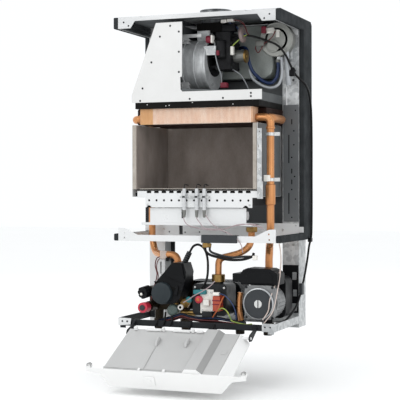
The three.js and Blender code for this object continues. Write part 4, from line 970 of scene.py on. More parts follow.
@dataclass
class FanUnit:
    """Exhaust fan: volute, wheel, motor, winding and its small wiring."""

    axis_y: float = -129.0
    axis_z: float = 612.0
    drum_z: float = 595.0
    drum: float = 58.0
    sheets: int = 18
    sheet_pitch: float = 1.86
    half_sheet: float = 0.62
    iron_left: float = 20.9
    iron_half: float = 31.4
    iron_over: float = 53.4
    bolt: float = 3.0

    def build(self) -> None:
        """Builds the fan from the volute outward."""
        refine("fan_volute", DRUM, 0.6)
        refine("fan_impeller", ALUMINIUM, 0.2, "fan_wheel")
        refine("fan_motor", IRON, 0.6)
        self.hopper_skin()
        self.hoops()
        self.lamination()
        self.winding()
        self.shaft_end()
        self.small_parts()

    def hopper_skin(self) -> None:
        """Lays near-black skins over the outside of the hopper that leads to the flue."""
        skin = Sketch().box((-30.4, 33.4), (-149.6, -149.1), (667.4, 690)).box((33.1, 33.6), (-149.6, -75.6),
            (667.4, 690))
        skin.box((-30.6, -30.1), (-149.6, -75.6), (667.4, 690)).box((-30.4, 33.4), (-75.9, -75.4),
            (667.4, 690))
        skin.box((2.4, 33.4), (-149.4, -75.6), (667.4, 667.9))
        skin.put("hopper_soot", NEAR_BLACK_SHADE)

    def hoops(self) -> None:
        """Rolls the rims and stiffening ridges of the drum."""
        made = Sketch()
        for x, wide, proud in ((-55.2, 2.6, 2.6), (-26, 1.4, 1.6), (0.6, 2.6, 2.6)):
            out = self.drum + proud
            made.turned([(self.drum - 1, -wide), (out - 0.5, -wide), (out, -wide + 0.5), (out, wide - 0.5),
                (out - 0.5, wide), (self.drum - 1, wide)], (x, self.axis_y, self.drum_z), (1, 0, 0), 64)
        made.put("volute_hoops", DRUM)
        tabs = Sketch()
        for z in (541, 548, 642, 649):
            side = 8 if z < 600 else 6
            tabs.prism([(-59, z - side / 2), (-30, z - side / 2), (-36, z + side / 2), (-59, z + side / 2)],
                -190.5, -188.5)
        tabs.box((-58, -3), (-192, -189), (652, 660))
        tabs.box((-61, -57), (-185, -80), (640, 652))
        tabs.soften(0.6).put("volute_brackets", BRIGHT_SHEET)
        screws("volute_screws", [(-52, -190.5, 545), (-50, -190.5, 645), (-12, -192, 656)], (0, -1, 0), 2.4)

    def lamination(self) -> None:
        """Stacks the motor's iron sheets."""
        half = self.iron_half
        plate = Sketch().prism([(-half, -half), (half, -half), (half, self.iron_over),
            (-half, self.iron_over)], -self.half_sheet, self.half_sheet, "x")
        places = [(self.iron_left + i * self.sheet_pitch, self.axis_y, self.axis_z)
            for i in range(self.sheets)]
        REPEAT.spread("motor_sheets", plate, places, IRON)
        straps = Sketch()
        for z in (self.axis_z - 27, self.axis_z + 29, self.axis_z + 49):
            for y in (-155, -103):
                straps.rod((17, y, z), (56.5, y, z), self.bolt, 12)
        straps.put("motor_bolts", DARK_STEEL)
        Sketch().box((34, 66), (-160, -140), (666, 683)).soften(1.6).put("motor_terminal_block",
            BLACK_PLASTIC)

    def winding(self) -> None:
        """Winds the main coil, and the small red one with its white cheek beside it."""
        x, y = 31, -163
        Sketch().turned([(9, 608), (12.2, 609), (12.9, 618), (12.9, 634), (12.2, 643), (9, 644)],
            (x, y, 0), (0, 0, 1)).put("fan_winding", IRON)
        cheeks = Sketch()
        for z in (605.6, 644):
            cheeks.turned([(13.4, 0), (14, 0.5), (14, 2), (13.4, 2.5)], (x, y, z), (0, 0, 1))
        cheeks.put("winding_cheeks", BLACK_PLASTIC)
        Sketch().turned([(6, 0), (8, 0.6), (8.6, 4), (8.6, 9), (8, 12.4), (6, 13)], (4, -178, 648),
            (1, 0, 0)).put("fan_start_coil", RED_TAPE)
        Sketch().box((16.5, 20.5), (-186, -169), (639, 657)).soften(1.2).put("start_coil_cheek",
            WHITE_PLASTIC)
        Sketch().box((-2, 27), (-181, -177), (612, 633)).soften(0.5).put("fan_blank_plate", ZINC)
        Sketch().box((28, 34), (-181, -174), (611, 622)).soften(0.8).put("fan_small_block", RED_TAPE)
        wire("fan_strap", [(23, -176, 640), (27, -181, 610), (34, -182, 583), (40, -180, 566),
            (40, -177, 548)], GREY_WIRE, 1.4)

    def shaft_end(self) -> None:
        """Adds the bearing cap, the golden disc on its end and the plug beside it."""
        y, z = self.axis_y, self.axis_z
        Sketch().turned([(13.6, 54), (14.4, 56), (14.4, 66), (13.4, 70), (13.4, 80)], (0, y, z),
            (1, 0, 0)).put("fan_bearing_cap", SWITCH_METAL)
        Sketch().turned([(14, 79), (15.4, 80), (15.4, 83), (14.4, 84), (5, 84.2), (4.4, 85.4),
            (2, 85.6)], (0, y, z), (1, 0, 0)).put("fan_bearing_disc", BRASS)
        Sketch().box((49, 60), (-158, -146), (613, 633)).soften(1.6).put("fan_plug", WHITE_PLASTIC)

    def small_parts(self) -> None:
        """Places the capacitor, the terminals and the short wires above the motor."""
        Sketch().turned([(16, 0), (17.6, 1.4), (17.8, 6), (17, 7.6), (14, 8)], (76, -150, 658),
            (1, 0, 0.1)).put("fan_capacitor", LACQUER)
        plugs = Sketch()
        plugs.box((30, 43.5), (-156, -144), (687, 694.5)).box((45, 59.5), (-156, -144), (688.5, 695.4))
        plugs.soften(1.0).put("fan_terminals", WHITE_PLASTIC)
        Sketch().box((39, 54), (-184, -170), (537, 549)).soften(1.2).put("fan_lower_block", RED_TAPE)
        Sketch().box((114, 124), (-118, -106), (664, 680)).soften(1.5).put("roof_plug", RED_TAPE)
        Sketch().box((98, 118), (-112, -106), (636, 648)).soften(1.0).put("roof_terminal_plate", SWITCH_METAL)
        wire("fan_blue_wire", [(43, -150, 691), (54, -152, 685), (64, -152, 679), (78, -152, 665),
            (95, -150, 654)], BLUE_WIRE, 1.3)
        wire("fan_brown_wire", [(59, -150, 693), (72, -152, 691), (84, -152, 682), (90, -151, 668),
            (93, -150, 660), (100, -149, 655)], RED_WIRE, 1.3)
        wire("fan_earth_wire", [(55, -152, 632), (64, -153, 640), (77, -153, 650), (89, -151, 657),
            (94, -150, 656)], YELLOW_WIRE, 1.3)
        wire("fan_thin_wire", [(50, -140, 583), (62, -146, 577), (74, -144, 568), (85, -140, 549),
            (90, -130, 534), (92, -100, 530)], GREY_WIRE, 1.4)


@dataclass
class AirSwitch:
    """Pressure switch with its two tubes and its bracket."""

    x: float = 145.0
    z: float = 650.0
    front: float = -102.0
    radius: float = 39.0
    cap: Point = (137.0, 636.0)
    hose: float = 4.0
    clear_tube: float = 3.2
    drain: float = 5.4

    def build(self) -> None:
        """Builds the switch, its terminals and both tubes."""
        r = self.radius
        shell = Sketch().turned([(r - 2, -24), (r, -22), (r, -16), (r - 1.5, -14.5), (r - 1.5, -11),
            (r, -9.5), (r, -3), (r - 1.4, -1.2), (r - 5, 0), (r - 6, -1.6), (r - 11, -1.6), (r - 12, 0.4),
            (r - 17, 0.4), (r - 18, -1.6), (r - 23, -1.8), (r - 24, 0.2)], (self.x, self.front, self.z),
            (0, -1, 0), 72)
        # Dull metal shell whose rings catch one thin light each.
        shell.put("switch_shell", SWITCH_METAL, BODY, ["pressure_switch"])
        Sketch().turned([(15, -3), (15.4, 2.5), (14, 3.6), (12, 3.2), (11, 4.6), (3, 5)],
            (self.cap[0], self.front, self.cap[1]), (0, -1, 0), 48).put("switch_centre", SWITCH_CAP)
        rim = Sketch().turned([(r - 0.6, -1), (r + 0.2, 0), (r - 0.8, 1.2), (r - 2.6, 0.4)],
            (self.x, self.front, self.z), (0, -1, 0), 72)
        rim.put("switch_rim", SWITCH_CAP)
        Sketch().tube([(163, -96, 664), (167, -96, 640), (168, -96, 610), (170, -94, 575),
            (172, -92, 546)], self.drain, 14, 5).put("switch_drain_tube", CLEAR_TUBE)
        legs = Sketch()
        for x, z in ((128, 668), (140, 672), (152, 670)):
            legs.box((x - 3, x + 3), (-111, -101), (z - 1, z + 1))
        legs.box((122, 141), (-109, -102), (664, 677)).box((146, 153), (-108, -102), (655, 672))
        legs.soften(0.5).put("switch_terminals", WHITE_PLASTIC)
        Sketch().box((155, 175), (-80, -65.3), (607, 640)).box((146, 154), (-100, -92),
            (605, 613)).soften(0.6).put("switch_bracket", ZINC)
        self.tubes()
        wire("switch_red_wire", [(146, -112, 668), (140, -114, 656), (130, -113, 648), (118, -110, 640),
            (104, -106, 622), (96, -104, 632), (100, -104, 645)], RED_WIRE, 1.2)

    def tubes(self) -> None:
        """Runs the navy pressure hose and the milky tube beside it."""
        route = [(12.8, -80, 606), (24, -80, 607), (38, -82, 626), (56, -88, 637), (73, -102, 631),
            (80, -108, 606), (90, -105, 579), (111, -100, 558), (129, -95, 552), (142, -92, 564),
            (146, -90, 585), (145, -90, 604.6)]
        Sketch().tube(route, self.hose, 16, 8).put("pressure_hose", BLUE_RUBBER, BODY, ["switch_hose"])
        beside = [(80, -104, 584), (90, -104, 562), (112, -102, 546), (132, -100, 541), (150, -99, 549),
            (157, -98, 572), (156, -97, 610)]
        Sketch().tube(beside, self.clear_tube, 14, 8).put("milky_tube", CLEAR_TUBE)
        rings = Sketch()
        for place, way in (((145, -90, 603), (0, 0, -1)), ((14, -80, 606), (1, 0, 0))):
            rings.turned([(4.4, -4), (5.2, -3.6), (5.2, 3.6), (4.4, 4)], place, way, 24)
        rings.put("hose_ends", SWITCH_METAL)


@dataclass
class Exchanger:
    """Finned copper block with round bends at both ends."""

    left: float = -140.0
    right: float = 130.0
    front: float = -226.0
    back: float = -52.0
    bottom: float = 455.0
    top: float = 490.7
    pitch: float = 2.35
    tube: float = 9.5
    tube_z: float = 468.0
    tinted: int = 13
    half_fin: float = 0.42

    def fin(self) -> Sketch:
        """Draws one fin.

        Returns:
            The sketch of the fin, about X = 0.
        """
        outline = [(self.front, self.bottom), (self.back, self.bottom), (self.back, self.top),
            (self.front, self.top)]
        return Sketch().prism(outline, -self.half_fin, self.half_fin, "x")

    def build(self) -> None:
        """Builds the fin stack, the end boxes, the bends and the tubes."""
        count = int((self.right - self.left) / self.pitch) - 1
        places = [(self.left + (i + 1) * self.pitch, 0, 0) for i in range(count)]
        REPEAT.spread("exchanger_fins", self.fin(), places[self.tinted:], FIN_COPPER,
            stands_for=["heat_exchanger"])
        REPEAT.spread("exchanger_tinted_fins", self.fin(), places[:self.tinted], TAN_FIN)
        # Painted shade: the core shows darker copper in the slots between the fins.
        Sketch().box((self.left, self.right), (self.front + 1.4, self.back),
            (self.bottom + 0.6, self.top)).soften(0.5).put("exchanger_core", FIN_SHADE)
        Sketch().box((self.left, self.right), (self.front + 0.8, self.back + 0.5),
            (self.bottom - 0.4, self.bottom + 0.9)).soften(0.3).put("exchanger_underside", DARK_COPPER_AND_SHADE)
        # Painted shade: the end boxes stand in the dark gaps beside the fins.
        ends = Sketch()
        ends.box((-150, self.left + 0.8), (-218, -112), (self.bottom, self.top))
        ends.box((self.right - 0.8, 150), (-188, -66), (self.bottom, self.top))
        ends.soften(2.5).put("exchanger_end_boxes", DARK_COPPER_AND_SHADE)
        z, r = self.tube_z, self.tube
        bends = Sketch()
        bends.tube([(-136, -213, z), (-148, -213, z), (-157, -206, z), (-159, -192, z), (-157, -179, z),
            (-148, -172, z), (-136, -172, z)], r, 24, 8)
        bends.tube([(126, -172, z), (140, -172, z), (152, -164, z), (155, -142, z), (155, -108, z),
            (152, -86, z), (140, -78, z), (126, -78, z)], r, 24, 8)
        bends.put("exchanger_bends", COPPER)
        cups = Sketch()
        for x, y, way in ((-141, -213, -1), (-141, -172, -1), (131, -172, 1), (131, -78, 1)):
            cups.turned([(r + 0.4, 0), (r + 2, 0.6), (r + 2, 3.4), (r + 0.2, 5)], (x, y, z), (way, 0, 0), 28)
        cups.put("exchanger_cups", COPPER)


@dataclass
class Chamber:
    """Combustion chamber: steel casing, fibre lining and the hook bracket."""

    front: float = -230.0

    def build(self) -> None:
        """Dresses casing and lining and adds their cut edges and fixings."""
        refine("chamber_casing", HOOD_SHEET, 0.4)
        refine("chamber_lining", FIBRE, 0.8)
        refine("hook_bracket", ZINC, 0.5)
        edges = Sketch()
        y = (self.front - 0.5, self.front + 6)
        edges.box((-156.8, -147.6), y, (309, 454)).box((132.2, 141.4), y, (309, 454))
        edges.box((-147.6, 132.2), (self.front + 12, self.front + 16), (309, 311.4))
        # Cut edges of the board: paler and rougher than its faces.
        pale = Finish("cut_fibre_edge", "fibre_board", "#b1aaa1", "#857d73", 0.0, 0.95, patch=16, detail=1.1,
            contrast=0.5, bump=0.4)
        edges.soften(0.9).put("lining_cut_edges", pale)
        screws("chamber_screws", [(148.6, -232.5, 300), (148.6, -232.5, 424), (148.6, -232.5, 352)],
            (0, -1, 0), 2.2)


@dataclass
class BurnerUnit:
    """Bar burner with its front plate, gas manifold and electrodes."""

    blades: int = 14
    pitch: float = 18.3
    middle: float = 2.0
    front: float = -222.0
    back: float = -60.0
    low: float = 272.0
    high: float = 304.0
    electrodes: tuple[float, ...] = (-29.0, 1.0, 19.0)
    stem_y: float = -232.0
    half_bar: float = 5.5
    slot_pitch: float = 4.5
    lead: float = 1.0

    def build(self) -> None:
        """Builds the burner from the bars to the electrodes' wires."""
        self.bars()
        refine("burner_front_plate", WHITE_SHEET, 0.3)
        refine("gas_manifold", WHITE_SHEET, 0.5)
        refine("electrode_bracket", ZINC, 0.25)
        nodes = ("electrode_left", "electrode_centre", "electrode_right")
        for node, x in zip(nodes, self.electrodes):
            self.electrode(node, x)
        # Painted shade at the bars' mouths: dark tabs along the top edge of the front plate.
        tab = Sketch().prism([(-5.4, 300.4), (5.4, 300.4), (5.4, 304.6), (3.6, 306), (-3.6, 306),
            (-5.4, 304.6)], -228.1, -226.4).soften(0.3, 40, 1)
        REPEAT.spread("burner_mouths", tab, self.places(), NEAR_BLACK_SHADE)
        # Painted shade in the two notches of the front plate.
        notches = Sketch()
        for x in (-117, 115):
            notches.prism([(x - 7, 267.6), (x + 7, 267.6), (x + 2, 272.5), (x - 2, 272.5)], -228.3, -227)
        notches.soften(0.3).put("plate_notches", NEAR_BLACK_SHADE)
        screws("burner_screws", [(-120, -227.5, 274), (124, -227.5, 274), (0, -228, 274)], (0, -1, 0), 2.4)
        screws("electrode_screws", [(-14, -237, 291.7), (28, -236, 291.7)], (0, -1, 0), 2.6)
        self.wires()

    def places(self) -> list[Point]:
        """Spaces the bars evenly about the burner's middle.

        Returns:
            One place for each bar.
        """
        first = self.middle - self.pitch * (self.blades - 1) / 2
        return [(first + i * self.pitch, 0, 0) for i in range(self.blades)]

    def bars(self) -> None:
        """Sets the burner bars, each with its row of flame slots."""
        bar = Sketch()
        width = self.half_bar
        outline = [(-width, self.low), (width, self.low), (width, self.high - 6),
            (width - 2.4, self.high - 1.6), (width - 2.8, self.high), (-width + 2.8, self.high),
            (-width + 2.4, self.high - 1.6), (-width, self.high - 6)]
        bar.prism(outline, self.front, self.back).soften(0.5, 40, 1)
        rows = int((self.back - self.front) / self.slot_pitch) - 1
        for i in range(rows):
            y = self.front + 5 + i * self.slot_pitch
            bar.box((-2.3, 2.3), (y, y + 1.5), (self.high - 0.2, self.high + 0.35))
        REPEAT.spread("burner_bars", bar, self.places(), IRON, stands_for=["burner"])
        rails = Sketch()
        for y in ((-216, -210), (-72, -66)):
            rails.box((-156, 141), y, (293, 301))
        rails.soften(0.6).put("burner_rails", DARK_STEEL)

    def electrode(self, node: str, x: float) -> None:
        """Builds one electrode: porcelain stem, bent metal tip, collar and boot.

        Args:
            node: The CAD node that it stands for.
            x: Where it stands.
        """
        y = self.stem_y
        stem = Sketch().turned([(3.6, 262), (4.2, 263), (4.2, 287), (4.2, 309), (3.4, 310.4), (1.6, 311)],
            (x, y, 0), (0, 0, 1), 28)
        for z in (270, 276, 282):
            stem.turned([(3.8, -1.6), (4.7, -0.8), (4.7, 0.8), (3.8, 1.6)], (x, y, z), (0, 0, 1), 24)
        stem.put(node + "_porcelain", PORCELAIN, BODY, [node])
        metal = Sketch().tube([(x, y, 309), (x, y, 315), (x, y + 3, 319), (x, y + 12, 319.6),
            (x, y + 25, 317)], 1.0, 10, 6)
        metal.turned([(5.6, 290), (6, 290.5), (6, 293), (5.2, 294)], (x, y, 0), (0, 0, 1), 6)
        metal.put(node + "_tip", DARK_STEEL)
        Sketch().turned([(2, 246), (3.2, 248), (3.9, 256), (4.4, 262), (3.6, 263)], (x, y, 0),
            (0, 0, 1), 24).put(node + "_boot", SWITCH_METAL)

    def wires(self) -> None:
        """Leads the three electrode wires down over the middle bar."""
        one, two, three = self.electrodes
        wire("electrode_wire_left", [(one, -232, 257), (one - 1, -233, 244), (one + 8, -236, 231),
            (one + 30, -240, 224), (40, -242, 219), (70, -241, 222), (104, -238, 232), (140, -236, 230),
            (160, -238, 222)], PINK_WIRE, self.lead)
        wire("electrode_wire_centre", [(two, -232, 257), (two, -234, 246), (13, -238, 232), (24, -242, 223),
            (62, -243, 219), (92, -243, 206), (108, -242.5, 190), (112, -238, 170)], PINK_WIRE, self.lead)
        wire("electrode_wire_right", [(three, -232, 257), (27, -234, 246), (42, -238, 231), (64, -240, 221),
            (96, -238, 229), (132, -236, 233), (156, -238, 226)], PINK_WIRE, self.lead)


@dataclass
class Pipework:
    """Copper pipes above and below the middle bar, and the five connections."""

    wide: float = 8.5
    back_wide: float = 8.0
    gas_wide: float = 7.5
    feet: tuple[float, ...] = (-134.0, -67.0, 0.0, 67.0, 134.0)
    threads: int = 6
    thread_pitch: float = 2.6

    def build(self) -> None:
        """Builds the flow, return and gas pipes with their collars and clips."""
        self.flow()
        self.back_flow()
        self.gas()
        refine("gas_nut", BRASS, 0.8)
        for x in self.feet:
            self.connection(x)

    def flow(self) -> None:
        """Bends the flow pipe down the right side."""
        r = self.wide
        made = Sketch()
        made.tube([(130.6, -200, 468), (146, -200, 468), (157, -200, 466), (163, -200, 458), (163, -200, 440),
            (163, -200, 380), (163, -200, 320), (163, -200, 262), (162.4, -198, 226), (158, -188, 200),
            (149, -164, 184), (144.5, -152, 168), (143, -150, 150), (143, -150, 129.4)], r, 24, 8)
        made.rod((163, -200, 274), (163, -200, 320), r + 2.5, 28, 2)
        made.put("flow_pipe_copper", COPPER, BODY, ["flow_pipe"])
        Sketch().turned([(r - 0.4, -3), (r + 1.6, -2), (r + 1.6, 2), (r - 0.4, 3)], (163, -200, 444),
            (0, 0, 1), 28).put("flow_pipe_bead", COPPER)
        clips = Sketch()
        for z in (430, 330):
            clips.turned([(r + 0.6, -4), (r + 2.4, -3.4), (r + 2.4, 3.4), (r + 0.6, 4)], (163, -200, z),
                (0, 0, 1), 28)
            clips.box((171, 184), (-203, -197), (z - 4, z + 4))
        clips.put("flow_pipe_clips", SCREW_STEEL)
        Sketch().box((152, 166), (-216, -208), (326, 340)).soften(1.4).put("flow_sensor", WHITE_PLASTIC)

    def back_flow(self) -> None:
        """Bends the return pipe down the left side."""
        made = Sketch().tube([(-140.6, -95, 468), (-156, -95, 468), (-166, -95, 461), (-168, -95, 444),
            (-168, -95, 380), (-168, -95, 300), (-168, -95, 220), (-166, -97, 192), (-152, -112, 162),
            (-122, -144, 157), (-104, -150, 157.5), (-88, -150, 156), (-80, -150, 148), (-78, -150, 136),
            (-78, -150, 120.4)], self.back_wide, 24, 8)
        made.put("return_pipe_copper", COPPER, BODY, ["return_pipe"])
        self.collar("return_lower", (-78, -150, 132), (0, 0, 1))

    def gas(self) -> None:
        """Bends the gas pipe from the manifold to the valve."""
        Sketch().tube([(112, -180, 222.4), (112, -180, 206), (111, -180, 194), (103, -180, 178),
            (84, -180, 166), (60, -180, 159), (42, -180, 154), (34.5, -180, 146), (33, -180, 132),
            (33, -180, 97)], self.gas_wide, 24, 8).put("gas_pipe_copper", COPPER, BODY, ["gas_pipe"])
        self.collar("gas_upper", (112, -180, 219), (0, 0, 1))

    def collar(self, name: str, place: Point, aim: Point) -> None:
        """Adds a brass nut with a rolled copper bead next to it.

        Args:
            name: What the nut belongs to.
            place: Its middle.
            aim: The pipe's direction there.
        """
        Sketch().turned([(12.4, -6), (13.8, -4.8), (13.8, 4.8), (12.4, 6)], place, aim,
            6).soften(0.7).put(name + "_nut", BRASS)
        Sketch().turned([(8.2, 6), (10.4, 7), (10.8, 8.5), (10.4, 10), (8.2, 11)], place, aim,
            28).put(name + "_bead", COPPER)

    def connection(self, x: float) -> None:
        """Adds the nut and threads at the foot of one connection.

        Args:
            x: Where the connection stands.
        """
        nut = Sketch().turned([(13.2, -4), (14.6, -2.8), (14.6, 5.8), (13.2, 7)], (x, -130, 0), (0, 0, 1), 6)
        nut.soften(0.6)
        for i in range(self.threads):
            nut.turned([(9.8, -1.1), (10.7, -0.2), (10.7, 0.2), (9.8, 1.1)],
                (x, -130, -19.5 + i * self.thread_pitch), (0, 0, 1), 32)
        nut.put(f"connection_nut_{int(x) + 200}", BRONZE)


@dataclass
class GasTrain:
    """Gas valve with its coil, tappings, plugs and wires."""

    def build(self) -> None:
        """Dresses the valve and adds what is bolted to it."""
        refine("gas_valve", CAST_GREY, 0.9)
        refine("gas_coil", RESIN, 1.4)
        Sketch().box((-2, 30), (-203.5, -200.5), (30, 84)).soften(0.8).put("valve_front_plate", WHITE_PLASTIC)
        screws("valve_screws", [(3, -203.5, 36), (25, -203.5, 36), (3, -203.5, 78), (25, -203.5, 78),
            (-16, -200.5, 88), (54, -200.5, 88)], (0, -1, 0), 2.8)
        Sketch().box((36, 50), (-224, -214), (72.4, 80)).box((8, 22), (-212, -203),
            (48, 62)).soften(1.2).put("valve_plugs", WHITE_PLASTIC)
        Sketch().turned([(8, 0), (8.6, 1), (8.6, 9), (7.4, 11), (3, 12)], (-4, -200, 61), (0, -1, 0),
            32).put("valve_red_cap", RED_PLASTIC)
        Sketch().turned([(4, 0), (4, 1.2), (2, 1.8)], (-4, -212, 61), (0, -1, 0), 24).put("valve_cap_centre",
            ORANGE_PLASTIC)
        Sketch().box((-16, 14), (-212, -202), (73, 83)).soften(1.6).put("valve_teal_cap", TEAL_PLASTIC)
        Sketch().box((33.4, 52.6), (-221.6, -200.3), (51.5, 54)).box((33.4, 52.6), (-221.6, -200.3),
            (60, 62.5)).soften(0.5).put("coil_bands", RED_TAPE)
        wire("valve_earth_wire", [(48, -224, 40), (60, -229, 46), (71, -229, 40), (79, -229, 26),
            (84, -228, 18), (112, -226, 12), (130, -230, 14)], YELLOW_WIRE, 1.4)
        wire("valve_orange_wire", [(62, -222, 72), (58, -230, 60), (52, -232, 44), (44, -230, 34),
            (36, -226, 24)], ORANGE_WIRE, 1.3)
        wire("valve_blue_wire", [(50, -220, 77), (66, -228, 74), (82, -231, 60), (91, -230, 42),
            (92, -226, 22)], BLUE_WIRE, 1.3)


@dataclass
class DiverterUnit:
    """Water block on the left with its actuator, spindle and two knobs."""

    cap: tuple[float, float] = (-87.0, 74.0)

    def build(self) -> None:
        """Dresses the block and builds the actuator and the knobs."""
        refine("diverter_block", BRONZE, 0.8)
        refine("diverter_actuator", BLACK_PLASTIC, 1.6)
        refine("diverter_spindle", SCREW_STEEL, 0.5, "spindle")
        refine("fill_knob", BLACK_PLASTIC, 1.0, "filling_knob")
        refine("safety_knob", RED_PLASTIC, 1.0, "safety_tap")
        self.actuator()
        self.fittings()
        self.wires()

    def actuator(self) -> None:
        """Adds the actuator's cap, the painted shade of its groove band, its shoulder and its cable boot."""
        x, z = self.cap
        Sketch().turned([(25.4, -215), (25.4, -222.6), (24.6, -223.4), (24, -229), (22.6, -230.4),
            (12, -231.2), (4, -231.4)], (x, 0, z), (0, 1, 0), 64).put("actuator_cap", SLATE_PLASTIC)
        # Painted shade in the actuator's deep groove band.
        Sketch().prism([(-108, 100), (-104, 94), (-40, 72), (-37, 79), (-98, 101)], -223,
            -221.4).soften(0.6).put("actuator_band", NEAR_BLACK_SHADE)
        tier = Sketch().prism([(-83, 119), (-78, 113), (-34, 97), (-31, 101), (-38, 141), (-64, 141)], -226,
            -221.4)
        tier.prism([(-60, 72), (-52, 92), (-46, 90), (-50, 68)], -225, -221.4)
        tier.soften(1.4).put("actuator_shoulder", BLACK_PLASTIC)
        Sketch().tube([(-45, -198, 138), (-40, -198, 147), (-35, -198, 157), (-30, -198, 166)], 6.4,
            16, 4, (1.0, 0.88)).put("actuator_boot", CAP_PLASTIC)

    def fittings(self) -> None:
        """Places the small cartridges, rings and plugs on the water block."""
        Sketch().turned([(5.8, 0), (6.6, 0.8), (6.6, 5), (5.6, 6), (3.2, 5.4)], (-48, -205, 42),
            (0, -1, 0), 28).put("block_white_ring", WHITE_PLASTIC)
        # Painted shade in the open middle of the white ring.
        Sketch().turned([(3, 5), (3, 6), (1.4, 6.2)], (-48, -205, 42), (0, -1, 0), 20).put("block_ring_eye",
            NEAR_BLACK_SHADE)
        Sketch().turned([(12.6, 0), (13.4, 1), (13.4, 13), (12, 15), (8, 16), (6, 14.6)],
            (-70, -190, 34), (0, -1, 0), 36).put("block_smoky_cup", SMOKY_CUP)
        Sketch().turned([(6, 0), (6.6, 1), (6.6, 9), (5, 10)], (-30, -196, 58), (0, -1, 0.2),
            24).put("block_teal_cartridges", TEAL_PLASTIC)
        brass = Sketch().turned([(11, 0), (12, 1), (12, 8), (11, 9)], (-46, -180, 50), (0, -1, 0),
            6).soften(0.8)
        brass.rod((-56, -186, 28), (-20, -186, 28), 6.5, 20, 1)
        brass.rod((-70, -186, 58), (-70, -186, 30), 7.5, 20, 1)
        brass.put("block_brass_fittings", BRASS)
        Sketch().turned([(6, 0), (6.6, 0.6), (6.6, 2), (5, 2.6)], (-133, -230, 40), (0, -1, 0),
            24).put("safety_knob_centre", CAP_PLASTIC, "safety_tap")
        Sketch().turned([(3.2, 0), (3.5, 0.6), (2.9, 2.2), (1.4, 2.8)], (-137.4, -224.9, 70.4),
            (-0.3, -0.93, -0.15), 20).put("fill_knob_tip", WHITE_PLASTIC, "filling_knob")
        Sketch().box((-122, -104), (-158, -140), (146, 166)).soften(3).put("return_sensor_clip",
            BEIGE_PLASTIC)
        Sketch().box((-106, -98), (-160, -144), (142, 150)).soften(1.5).put("return_sensor_plug",
            BLACK_PLASTIC)

    def wires(self) -> None:
        """Lays the actuator's cable and the thin wires at the left."""
        wire("actuator_cable", [(-30, -198, 166), (-20, -200, 180), (-6, -202, 184), (8, -202, 174),
            (16, -204, 152), (17, -206, 120), (12, -208, 98), (2, -206, 86)], CABLE, 2.7)
        wire("sensor_red_wire", [(-122, -150, 152), (-131, -152, 148), (-135, -153, 132), (-130, -154, 112),
            (-133, -156, 92), (-140, -160, 70), (-141, -162, 40)], RED_WIRE, 1.3)
        wire("sensor_dark_wire", [(-120, -152, 150), (-127, -156, 142), (-129, -158, 126), (-125, -158, 108),
            (-128, -160, 88)], RED_WIRE, 1.2)
        sheaths = (RED_WIRE, CABLE, RED_WIRE, CABLE, BLUE_WIRE, CABLE)
        for i, finish in enumerate(sheaths):
            dz, dy = i * 2.1, (i % 3) * 2.4
            wire(f"loom_wire_{i}", [(-98, -222 - dy, 3 + dz), (-80, -228 - dy, 8 + dz),
                (-64, -229 - dy, 12 + dz), (-49, -226 - dy, 17 + dz), (-38, -220 - dy, 20 + dz),
                (-20, -216 - dy, 15 + dz), (6, -214 - dy, 12 + dz), (40, -214 - dy, 10 + dz * 1.4),
                (78, -216 - dy, 9 + dz), (110, -220 - dy, 8 + dz * 0.8)], finish, 1.3)
        for i, (x, low, high) in enumerate(((-94, 6, 14), (-74, 12, 34), (-57, 10, 26), (-11, 4, 16),
                (44, 2, 10))):
            wire(f"bar_tie_{i}", [(x - 3, -238.6, low - 8), (x, -239.6, low), (x + 2, -238, high)], CABLE,
                2.4)
        wire("loom_pink_wire", [(38, -216, 104), (28, -224, 92), (10, -230, 80), (-5, -232, 72),
            (-20, -231, 62), (-34, -226, 55)], PINK_WIRE, 1.2)


